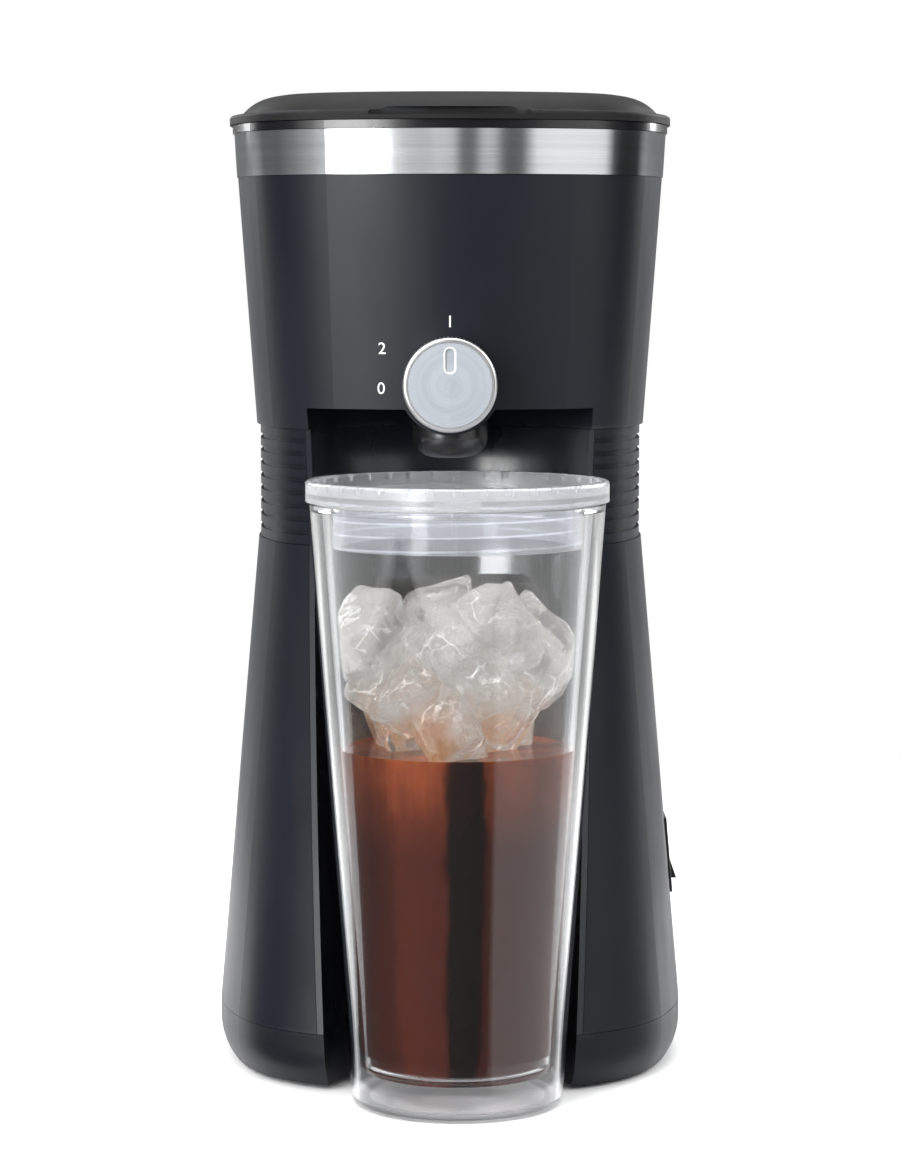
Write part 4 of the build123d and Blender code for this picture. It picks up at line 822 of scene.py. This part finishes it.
@dataclass(frozen=True)
class Ink(Finish):
    """Pad-printed ink, slightly uneven."""

    name: str
    colour: Colour

    def material(self) -> bpy.types.Material:
        """Build the material.

        Returns:
            The new material.
        """
        material, tree, vector, shader = self.start()
        cover = tree.noise(vector, 1800.0, 4.0, 0.7)
        tone = tree.mix(tree.range(cover, 0.3, 0.7), self.colour, shaded(self.colour, 0.86))
        tree.join(shader.inputs["Base Color"], tone)
        tree.join(shader.inputs["Roughness"], tree.range(cover, 0.3, 0.7, 0.4, 0.6))
        self.bump(tree, cover, 0.15, 0.00002, shader)
        return material


def deselect() -> None:
    """Leave edit mode and deselect everything."""
    if bpy.context.object and bpy.context.object.mode != "OBJECT":
        bpy.ops.object.mode_set(mode="OBJECT")
    bpy.ops.object.select_all(action="DESELECT")


def take(piece: bpy.types.Object) -> None:
    """Select one piece alone and make it the active one.

    Args:
        piece: The piece.
    """
    deselect()
    piece.select_set(True)
    bpy.context.view_layer.objects.active = piece


def settle(piece: bpy.types.Object) -> bpy.types.Object:
    """Move a piece's place into its mesh, so that its object sits at the origin.

    Args:
        piece: The finished piece.

    Returns:
        The same piece.
    """
    take(piece)
    bpy.ops.object.transform_apply(location=True, rotation=True, scale=True)
    return piece


def smooth(piece: bpy.types.Object, angle: float = 40.0) -> None:
    """Shade a piece smooth, except over sharp angles in degrees."""
    take(piece)
    bpy.ops.object.shade_smooth_by_angle(angle=math.radians(angle))


def spun(name: str, profile: Sequence[tuple[float, float]], center: Vector, steps: int = 128) -> bpy.types.Object:
    """Spin a profile round an upright axis into a closed piece.

    Args:
        name: Name of the piece.
        profile: Points of radius and height in millimetres, from axis to axis or as a closed ring.
        center: Foot of the axis in metres.
        steps: Number of steps round.

    Returns:
        The new piece.
    """
    deselect()
    bpy.ops.mesh.primitive_plane_add(size=0.01, location=(0, 0, 0))
    piece = bpy.context.object
    piece.name = name
    shape = bmesh.new()
    points = [shape.verts.new(center + Vector((r * MM, 0, z * MM))) for r, z in profile]
    for first, second in zip(points, points[1:]):
        shape.edges.new((first, second))
    if profile[0][0] > 0:
        shape.edges.new((points[-1], points[0]))
    shape.to_mesh(piece.data)
    shape.free()
    bpy.ops.object.mode_set(mode="EDIT")
    bpy.ops.mesh.select_all(action="SELECT")
    bpy.ops.mesh.spin(steps=steps, angle=math.tau, center=center, axis=(0, 0, 1))
    bpy.ops.mesh.select_all(action="SELECT")
    bpy.ops.mesh.remove_doubles(threshold=0.00001)
    bpy.ops.mesh.normals_make_consistent(inside=False)
    bpy.ops.object.mode_set(mode="OBJECT")
    smooth(piece)
    return piece


def dress(piece: bpy.types.Object, *materials: bpy.types.Material) -> None:
    """Give a piece its materials in place of any it has.

    Args:
        piece: The piece.
        materials: Its materials, in the order that its faces number them.
    """
    piece.data.materials.clear()
    for material in materials:
        piece.data.materials.append(material)


@dataclass
class Housing:
    """Finishes of the machine's own parts.

    The seams are heights in metres where a highlight is painted along the moulded edges. The other places are in
    millimetres.
    """

    navy: Colour = (0.0038, 0.0052, 0.0094)
    navy_shade: Colour = (0.0032, 0.0044, 0.0080)
    trim_seam: float = 0.0172
    body_seam: float = 0.0182
    collar_seam: float = 0.2008
    housing_seam: float = 0.2015
    lid_seam: float = 0.2968
    knob_axis: Point = (0.0, 0.0, 215.5)
    filter_axis: Point = (0.0, -27.0, 0.0)
    strainer_axis: Point = (30.0, 45.0, 0.0)
    pointer_slot: Point = (0.0016, 0.0051, 0.0095)

    def satin(self, part: str, seam: float) -> Finish:
        """Make the body's satin finish, with a painted highlight along a part's seam."""
        colours = (self.navy, self.navy_shade)
        return Moulded(f"satin_charcoal_{part}", *colours, 0.36, specular=0.3, dust=0.015, highlight_height=seam)

    def shell_finishes(self) -> list[tuple[Finish, tuple[str, ...]]]:
        """List the outer parts with their finishes.

        Returns:
            Pairs of a finish and the nodes that have it.
        """
        knob_middle = tuple(place(*self.knob_axis))
        dark_trim = Moulded(
            "dark_trim", (0.0048, 0.0058, 0.0088), (0.004, 0.005, 0.0076), 0.38,
            specular=0.28, highlight_height=self.trim_seam, dust=0.015,
        )
        gloss_liner = Moulded(
            "gloss_liner", (0.008, 0.0095, 0.014), (0.0065, 0.008, 0.012), 0.22,
            smudge=0.12, grain_strength=0.05, coat=0.25, dust=0.05,
        )
        gloss_black = Moulded(
            "gloss_black", (0.006, 0.006, 0.007), (0.004, 0.004, 0.005), 0.2,
            smudge=0.12, grain_strength=0.05, coat=0.3,
        )
        matte_lid = Moulded(
            "matte_lid", (0.0105, 0.0105, 0.0108), (0.0088, 0.0088, 0.0091), 0.55,
            grain_strength=0.4, grain_scale=2000.0, specular=0.12, highlight_height=self.lid_seam, dust=0.015,
        )
        switch_black = Moulded("switch_black", (0.007, 0.007, 0.007), (0.005, 0.005, 0.005), 0.3, coat=0.2)
        under_plastic = Moulded("under_plastic", (0.012, 0.012, 0.012), (0.009, 0.009, 0.009), 0.6, dust=0.2)
        soft_rubber = Moulded(
            "soft_rubber", (0.010, 0.010, 0.010), (0.014, 0.014, 0.013), 0.75, grain_scale=1500.0, grain_depth=0.0001
        )
        brushed_band = Metal("brushed_band", (0.765, 0.785, 0.81), 0.07, strength=0.12, depth=0.000008)
        knob_rim = Metal("knob_rim", (0.74, 0.74, 0.75), 0.24, Lines.TURNED, center=knob_middle)
        knob_disc = Metal(
            "knob_disc", (0.34, 0.365, 0.395), 0.45, Lines.TURNED,
            center=knob_middle, metallic=0.35, strength=0.15, slot=self.pointer_slot,
        )
        return [
            (self.satin("lower", self.body_seam), ("lower_shell",)),
            (self.satin("collar", self.collar_seam), ("rib_collar",)),
            (self.satin("housing", self.housing_seam), ("upper_housing",)),
            (dark_trim, ("base_trim",)),
            (gloss_liner, ("bay_liner",)),
            (gloss_black, ("top_deck", "drip_nozzle")),
            (matte_lid, ("lid_shell",)),
            (switch_black, ("switch_frame", "rocker")),
            (under_plastic, ("bottom_cover",)),
            (soft_rubber, ("feet", "cord_gland", "check_ball")),
            (brushed_band, ("metal_band",)),
            (knob_rim, ("knob",)),
            (knob_disc, ("knob_face",)),
        ]

    def inner_finishes(self) -> list[tuple[Finish, tuple[str, ...]]]:
        """List the inner parts with their finishes.

        Returns:
            Pairs of a finish and the nodes that have it.
        """
        tank_grey = Moulded("tank_grey", (0.045, 0.046, 0.048), (0.038, 0.039, 0.041), 0.4, smudge=0.15)
        filter_grey = Moulded("filter_grey", (0.03, 0.03, 0.03), (0.024, 0.024, 0.024), 0.45)
        valve_white = Moulded("valve_white", (0.55, 0.54, 0.52), (0.48, 0.47, 0.45), 0.45, dust=0.05)
        silicone = Moulded("milky_silicone", (0.62, 0.61, 0.58), (0.55, 0.54, 0.51), 0.5, grain_scale=900.0)
        wire_cover = Moulded("wire_cover", (0.36, 0.03, 0.02), (0.28, 0.022, 0.016), 0.4)
        plain_steel = Metal("plain_steel", (0.56, 0.56, 0.56), 0.3, Lines.UPRIGHT)
        tube_steel = Metal("tube_steel", (0.62, 0.61, 0.6), 0.25, Lines.UPRIGHT)
        brass = Metal("terminal_brass", (0.66, 0.48, 0.2), 0.28, Lines.UPRIGHT)
        filter_mesh = Mesh("filter_mesh_steel", (0.62, 0.61, 0.58), center=tuple(place(*self.filter_axis)))
        strainer = Mesh("strainer_steel", (0.6, 0.6, 0.6), center=tuple(place(*self.strainer_axis)))
        screws = ("base_screws", "housing_screws", "hinge_pins", "hose_clamps", "heater_bracket", "fuse_clip")
        hoses = ("supply_hose", "heater_hose", "riser_hose", "lid_gasket", "drain_ring", "shaft_ring")
        return [
            (tank_grey, ("water_tank", "brew_chamber", "lid_liner", "shower_plate", "outlet_nozzle")),
            (filter_grey, ("filter_frame",)),
            (valve_white, ("valve_body", "valve_cap", "valve_plug", "check_valve", "check_valve_cap")),
            (silicone, hoses),
            (wire_cover, ("wiring",)),
            (plain_steel, screws),
            (tube_steel, ("water_tube", "heating_element", "thermal_fuse")),
            (brass, ("switch_terminals",)),
            (Cast("cast_aluminium", (0.5, 0.5, 0.5)), ("heater_casting", "thermostat")),
            (filter_mesh, ("filter_mesh",)),
            (strainer, ("tank_strainer",)),
        ]

    def build(self) -> None:
        """Dress every part of the machine."""
        for finish, nodes in self.shell_finishes() + self.inner_finishes():
            material = finish.material()
            for node in nodes:
                dress(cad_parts[node], material)
            LOG.info("%s on %s", finish.name, ", ".join(nodes))


@dataclass
class DialNumbers:
    """Printed numbers round the knob. Each has its place across and up the front, in millimetres."""

    marks: tuple[tuple[str, float, float], ...] = (("1", 0.0, 233.9), ("2", -20.4, 225.8), ("0", -20.7, 213.8))
    height: float = 3.7
    font_share: float = 1.35
    before_front: float = -75.0
    thickness: float = 0.05
    ink: Finish = Ink("pale_ink", (0.78, 0.79, 0.80))

    def build(self) -> None:
        """Print the numbers on the front of the housing."""
        material = self.ink.material()
        for text, x, z in self.marks:
            piece = self.number(text, x, z)
            dress(piece, material)
            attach(piece, "machine")
            LOG.info("number %s", text)

    def number(self, text: str, x: float, z: float) -> bpy.types.Object:
        """Make one number, lying on the housing's curved front.

        Args:
            text: The number.
            x: Its middle, to the right of the machine's axis, in millimetres.
            z: Height of its middle in millimetres.

        Returns:
            The number as a mesh.
        """
        deselect()
        bpy.ops.object.text_add(location=place(x, self.before_front, z), rotation=(math.pi / 2, 0, 0))
        piece = bpy.context.object
        piece.name = f"dial_number_{text}"
        piece.data.body = text
        piece.data.align_x = "CENTER"
        piece.data.align_y = "CENTER"
        piece.data.size = self.height * MM * self.font_share
        piece.data.resolution_u = 8
        bpy.ops.object.convert(target="MESH")
        piece = settle(bpy.context.object)
        wrap = piece.modifiers.new("wrap", "SHRINKWRAP")
        wrap.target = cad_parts["upper_housing"]
        wrap.wrap_method = "PROJECT"
        wrap.use_project_y = True
        wrap.use_positive_direction = True
        wrap.use_negative_direction = False
        wrap.offset = self.thickness * MM
        bpy.ops.object.modifier_apply(modifier="wrap")
        solid = piece.modifiers.new("solid", "SOLIDIFY")
        solid.thickness = self.thickness * MM
        solid.offset = -1.0
        bpy.ops.object.modifier_apply(modifier="solid")
        return piece


@dataclass
class Tumbler:
    """Double-wall tumbler: its clear walls, frosted lid and seal. Sizes are in millimetres."""

    x: float = 2.2
    y: float = -75.0
    top: float = 180.4
    foot_radius: float = 31.7
    mouth_radius: float = 44.2
    wall: float = 1.8
    air: float = 1.9

    def axis(self) -> Vector:
        """Foot of the tumbler's axis, in metres."""
        return place(self.x, self.y, 0)

    def outer_radius(self, z: float) -> float:
        """Radius of the tumbler's outside at a height, in millimetres."""
        return self.foot_radius + (self.mouth_radius - self.foot_radius) * z / self.top

    def bore(self, z: float) -> float:
        """Radius of the cup's inside at a height, in millimetres."""
        return self.outer_radius(z) - 2 * self.wall - self.air

    def build(self) -> None:
        """Dress the tumbler's parts."""
        # Painted glow on the walls' foot, and on the lid's rim, skirt and thread crests.
        clear = Clear("clear_wall", specular=0.2, foot_glow_height=0.0095, glow=0.08).material()
        frosted = Clear(
            "frosted_lid", (0.95, 0.96, 0.98),
            roughness=0.02, frost=0.2, frost_foot=0.1812, glow=0.3, depth=0.00006, clarity=0.86,
            center=tuple(self.axis()),
        ).material()
        seal = Moulded("clear_seal", (0.7, 0.71, 0.71), (0.62, 0.63, 0.63), 0.4).material()
        dress(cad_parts["tumbler_outer"], clear)
        dress(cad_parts["tumbler_inner"], clear)
        dress(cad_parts["tumbler_lid"], frosted)
        dress(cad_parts["tumbler_ring"], seal)
        LOG.info("tumbler")


@dataclass
class Drink:
    """Coffee in the tumbler, up to its level, with the ice that floats in it. Sizes are in millimetres.

    The surface rises by rim_rise at the wall, and curve gives its insets from the wall with their drops.
    """

    cup: Tumbler
    level: float = 107.0
    floor: float = 11.8
    floor_round: float = 2.0
    gap: float = -0.05
    rim_rise: float = 0.8
    curve: Pairs = ((0.3, 0.35), (0.8, 0.62), (1.8, 0.78), (4.0, 0.8))
    pieces: int = 20
    ice_low: float = 112.0
    ice_high: float = 145.0
    smallest: float = 11.0
    biggest: float = 14.5
    wall_room: float = 0.7
    turn_step: float = 2.399
    seed: int = 11

    def build(self) -> None:
        """Pour the coffee and place the ice."""
        self.pour()
        self.ice()

    def pour(self) -> None:
        """Make the body of coffee, with its rim drawn up against the wall."""
        bottom = self.floor + self.gap
        foot = self.cup.bore(bottom) - self.gap
        profile = [(0.0, bottom)]
        for step in range(7):
            turn = math.pi / 2 * step / 6
            inset = self.floor_round * (1 - math.sin(turn))
            profile.append((foot - inset, bottom + self.floor_round * (1 - math.cos(turn))))
        for step in range(1, 25):
            z = bottom + self.floor_round + (self.level + self.rim_rise - bottom - self.floor_round) * step / 24
            profile.append((self.cup.bore(z) - self.gap, z))
        rim = self.cup.bore(self.level) - self.gap
        profile += [(rim - inset, self.level + self.rim_rise - drop) for inset, drop in self.curve]
        profile += [(rim * share, self.level) for share in (0.75, 0.5, 0.25)]
        profile.append((0.0, self.level))
        piece = spun("coffee", profile, self.cup.axis())
        finish = Coffee(
            "brewed_coffee",
            painted_shade_colour=(0.003, 0.0014, 0.001), warm=(0.10, 0.016, 0.007), amber=(0.38, 0.085, 0.024),
            surface=self.level * MM, center=tuple(self.cup.axis()),
        )
        dress(piece, finish.material())
        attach(piece, "tumbler")
        LOG.info("coffee up to %.0f mm", self.level)

    def ice(self) -> None:
        """Place the ice pieces in layers, each a different shape."""
        rng = random.Random(self.seed)
        skin = IceSkin("ice_skin", (0.70, 0.40, 0.20), 0.106, 0.130).material()
        cloud = IceCloud("ice_cloud", (0.66, 0.42, 0.24), 0.104, 0.132).material()
        for number in range(self.pieces):
            share = number / (self.pieces - 1)
            size = rng.uniform(self.smallest, self.biggest)
            z = self.ice_low + (self.ice_high - self.ice_low) * share
            reach = self.cup.bore(z) - size * 0.62 - 1.5
            bearing = number * self.turn_step + rng.uniform(-0.25, 0.25)
            out = reach * math.sqrt(rng.uniform(0.4, 1.0)) if number % 4 else reach * 0.25
            center = place(self.cup.x + out * math.cos(bearing), self.cup.y + out * math.sin(bearing), z)
            piece = self.lump(f"ice_{number + 1:02d}", center, size, rng)
            dress(piece, skin, cloud)
            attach(piece, "tumbler")
        LOG.info("%d pieces of ice", self.pieces)

    def lump(self, name: str, center: Vector, size: float, rng: random.Random) -> bpy.types.Object:
        """Make one melted lump of ice with a cloudy core.

        Args:
            name: Name of the piece.
            center: Its middle in metres.
            size: Its mean half width in millimetres.
            rng: Source of its shape.

        Returns:
            The new piece.
        """
        deselect()
        bpy.ops.mesh.primitive_cube_add(size=2.0, location=(0, 0, 0))
        piece = bpy.context.object
        piece.name = name
        bpy.ops.object.mode_set(mode="EDIT")
        bpy.ops.mesh.select_all(action="SELECT")
        bpy.ops.mesh.bevel(offset=0.22, segments=2, affect="EDGES")
        bpy.ops.mesh.select_all(action="SELECT")
        bpy.ops.mesh.subdivide(number_cuts=2)
        bpy.ops.object.mode_set(mode="OBJECT")
        half = [size * rng.uniform(0.62, 0.95) for _ in range(3)]
        seed = Vector([rng.uniform(-50, 50) for _ in range(3)])
        angle = rng.uniform(0, math.tau)
        turn = Matrix.Rotation(angle, 3, Vector([rng.gauss(0, 1) for _ in range(3)]).normalized())
        for point in piece.data.vertices:
            rough = noise.noise(point.co * 0.9 + seed) * 0.2 + noise.noise(point.co * 2.6 + seed) * 0.08
            co = point.co * (1.0 + rough)
            co = turn @ Vector((co.x * half[0], co.y * half[1], co.z * half[2])) * MM + center
            point.co = self.kept_inside(co)
        self.cloud_core(piece, center)
        smooth(piece, 30.0)
        return piece

    def kept_inside(self, co: Vector) -> Vector:
        """Melt a point of the ice back to the cup's wall.

        Args:
            co: The point in metres.

        Returns:
            The point, moved towards the axis where it was past the wall.
        """
        middle = self.cup.axis()
        flat = Vector((co.x, co.y)) - Vector(middle[:2])
        most = (self.cup.bore(co.z / MM) - self.wall_room) * MM
        if flat.length > most:
            flat = flat.normalized() * most
        return Vector((middle.x + flat.x, middle.y + flat.y, co.z))

    def cloud_core(self, piece: bpy.types.Object, center: Vector) -> None:
        """Copy a lump's skin inwards as its cloudy core, in the second material.

        Args:
            piece: The lump.
            center: Its middle in metres.
        """
        core = bmesh.new()
        core.from_mesh(piece.data)
        for part in bmesh.ops.duplicate(core, geom=core.faces[:])["geom"]:
            if isinstance(part, bmesh.types.BMVert):
                pull = 0.55 + 0.2 * noise.noise(part.co * 300.0)
                part.co = center + (part.co - center) * pull
            elif isinstance(part, bmesh.types.BMFace):
                part.material_index = 1
        core.to_mesh(piece.data)
        core.free()


@dataclass
class Studio:
    """Pale floor, soft lights and the camera at the photograph's angle.

    strips is what the metal band mirrors and walls what the body does, as brightness at bearings from behind. Each
    lamp has its name, place, size, power and aim. Lengths are in metres, the camera's places in millimetres.
    """

    camera_distance: float = 1136.65
    camera_height: float = 254.16
    camera_tilt: float = 5.282
    lens: float = 110.15
    floor_reach: float = 2.3
    card_reach: float = 0.66
    card_back: float = 0.3
    card_turn: float = 30.0
    card_lift: float = 0.0004
    dark_level: float = 0.02
    grey_level: float = 0.5
    card_notch: tuple[float, float] = (0.022, -0.1)
    notch_right: Pairs = ((0.085, -0.02), (0.055, -0.05), (0.047, -0.075), (0.036, -0.093))
    notch_left: Pairs = ((-0.006, -0.1), (-0.03, -0.093), (-0.042, -0.075), (-0.05, -0.05), (-0.085, -0.02))
    strips: Pairs = (
        (-180, 0.85), (-140, 0.8), (-118, 0.2), (-96, 0.16), (-50, 0.45), (-43, 0.6), (-40, 6.0), (-28, 6.0),
        (-26, 0.75), (-9, 0.75), (-6, 0.9), (1, 0.85), (4, 0.2), (9, 0.2), (12, 0.8), (16, 0.75), (19, 0.14),
        (27, 0.14), (31, 1.2), (76, 1.1), (86, 0.1), (94, 0.03), (120, 0.03), (136, 0.65), (180, 0.85),
    )
    walls: Pairs = (
        (-180, 0.22), (-150, 0.18), (-110, 0.06), (-76, 0.2), (-54, 3.0), (-40, 15.0), (-27, 15.0), (-19, 1.0),
        (-12, 0.05), (26, 0.05), (38, 1.2), (68, 1.2), (80, 0.06), (104, 0.05), (132, 0.18), (180, 0.22),
    )
    sky: Colour = (1.2, 1.21, 1.23)
    lamps: tuple[tuple[str, Point, float, float, Point], ...] = (
        ("key_left", (-0.9, -0.7, 0.9), 0.7, 7.0, (0, 0, 0.12)),
        ("key_right", (1.0, -0.5, 0.8), 0.8, 8.0, (0, 0, 0.12)),
        ("overhead", (0.0, 0.1, 1.5), 1.2, 14.0, (0, 0, 0)),
        ("rear_left", (-0.8, 0.9, 0.6), 0.6, 6.0, (0, 0, 0.15)),
        ("rear_right", (0.8, 0.9, 0.6), 0.6, 6.0, (0, 0, 0.15)),
    )

    def build(self) -> None:
        """Set up the studio."""
        self.floor()
        self.cards()
        self.world()
        self.lights()
        self.camera()
        LOG.info("studio")

    def floor(self) -> None:
        """Lay a pale floor with a faintly uneven sheen."""
        deselect()
        bpy.ops.mesh.primitive_plane_add(size=self.floor_reach, location=(0, 0, 0))
        piece = bpy.context.object
        piece.name = "studio_floor"
        material = bpy.data.materials.new("studio_floor")
        material.use_nodes = True
        tree = Tree(material.node_tree)
        shader = material.node_tree.nodes["Principled BSDF"]
        vector = tree.add("ShaderNodeTexCoord").outputs["Object"]
        cloud = tree.noise(vector, 3.0, 3.0)
        tree.join(shader.inputs["Base Color"], tree.mix(cloud, (0.93, 0.93, 0.93), (0.91, 0.91, 0.91)))
        tree.join(shader.inputs["Roughness"], tree.range(cloud, 0.3, 0.7, 0.6, 0.7))
        shader.inputs["Specular IOR Level"].default_value = 0.2
        away = tree.add("ShaderNodeVectorMath", {0: vector}, operation="LENGTH").outputs["Value"]
        glow = tree.add("ShaderNodeEmission", {"Color": (1.0, 1.0, 1.0), "Strength": 1.0})
        fade = tree.range(away, 0.22, 0.75)
        joined = tree.add("ShaderNodeMixShader", {0: fade, 1: shader.outputs[0], 2: glow.outputs[0]})
        tree.join(material.node_tree.nodes["Material Output"].inputs["Surface"], joined.outputs[0])
        dress(piece, material)

    def cards(self) -> None:
        """Lay a dark card and a grey one in front, so that gloss and glass don't mirror the white floor."""
        wide, back, notch = self.card_reach, self.card_back, self.card_notch
        slant = math.tan(math.radians(self.card_turn)) * wide
        right = ((wide, -wide), (wide, back), *self.notch_right, notch)
        dark = ((-wide, -wide), *right, *self.notch_left, (-wide, back))
        grey = ((notch[0] + slant, -wide), *right)
        self.card("dark_card", dark, self.card_lift, self.dark_level)
        self.card("grey_card", grey, 2 * self.card_lift, self.grey_level)

    def card(self, name: str, corners: Sequence[tuple[float, float]], lift: float, level: float) -> None:
        """Lay one card, out of the camera's view.

        Args:
            name: Name of the card.
            corners: Its corners in plan, in metres, in order.
            lift: Height over the floor in metres.
            level: Brightness of its face.
        """
        deselect()
        bpy.ops.mesh.primitive_circle_add(vertices=len(corners), radius=1.0, fill_type="NGON", location=(0, 0, 0))
        piece = bpy.context.object
        piece.name = name
        for point, corner in zip(piece.data.vertices, corners):
            point.co = Vector((*corner, lift))
        piece.visible_camera = False
        piece.visible_shadow = False
        piece.visible_diffuse = False
        material = bpy.data.materials.new(name)
        material.use_nodes = True
        shader = material.node_tree.nodes["Principled BSDF"]
        shader.inputs["Base Color"].default_value = (0.01, 0.01, 0.01, 1.0)
        shader.inputs["Roughness"].default_value = 0.9
        shader.inputs["Emission Color"].default_value = (1.0, 1.0, 1.0, 1.0)
        shader.inputs["Emission Strength"].default_value = level
        dress(piece, material)

    def world(self) -> None:
        """Light the scene from a plain studio all round, brighter at the sides than in front."""
        world = bpy.data.worlds.new("studio")
        bpy.context.scene.world = world
        world.use_nodes = True
        tree = Tree(world.node_tree)
        tree.tree.nodes.clear()
        parts = tree.parts(tree.add("ShaderNodeTexCoord").outputs["Generated"])
        share = tree.turn_share(tree.bearing(parts))
        strips = tree.ring(share, self.strips)
        walls = tree.ring(share, self.walls)
        height = parts["Z"]
        slot = tree.math("MULTIPLY", tree.range(height, -0.16, -0.12), tree.range(height, 0.0, -0.04))
        level = tree.mix(slot, walls, strips)
        level = tree.mix(tree.range(height, 0.3, 0.8), level, self.sky)
        seen = tree.add("ShaderNodeLightPath").outputs["Is Camera Ray"]
        light = tree.add("ShaderNodeBackground", {"Color": level, "Strength": 0.9})
        backdrop = tree.add("ShaderNodeBackground", {"Color": (1.0, 1.0, 1.0), "Strength": 1.0})
        joined = tree.add("ShaderNodeMixShader", {0: seen, 1: light.outputs[0], 2: backdrop.outputs[0]})
        tree.add("ShaderNodeOutputWorld", {"Surface": joined.outputs[0]})

    def lights(self) -> None:
        """Hang a soft key light on each side, one above and two behind."""
        for name, spot, size, power, aim in self.lamps:
            deselect()
            bpy.ops.object.light_add(type="AREA", location=spot)
            lamp = bpy.context.object
            lamp.name = name
            lamp.data.shape = "DISK"
            lamp.data.size = size
            lamp.data.energy = power
            lamp.rotation_euler = (Vector(aim) - Vector(spot)).to_track_quat("-Z", "Y").to_euler()

    def camera(self) -> None:
        """Place the camera as the photograph's."""
        spot = place(0, -self.camera_distance, self.camera_height)
        bpy.ops.object.camera_add(location=spot, rotation=(math.radians(90 - self.camera_tilt), 0, 0))
        camera = bpy.context.object
        camera.name = "photo_camera"
        camera.data.lens = self.lens
        camera.data.sensor_width = 36.0
        camera.data.clip_start = 0.05
        camera.data.clip_end = 20.0
        camera.data.dof.use_dof = False
        bpy.context.scene.camera = camera
        bpy.context.scene.view_settings.view_transform = "Standard"


def main() -> None:
    """Build every class in order."""
    Housing().build()
    DialNumbers().build()
    tumbler = Tumbler()
    tumbler.build()
    Drink(tumbler).build()
    Studio().build()
    LOG.info("boxes written")


if __name__ == "__main__":
    logging.basicConfig(level=logging.INFO)
    main()
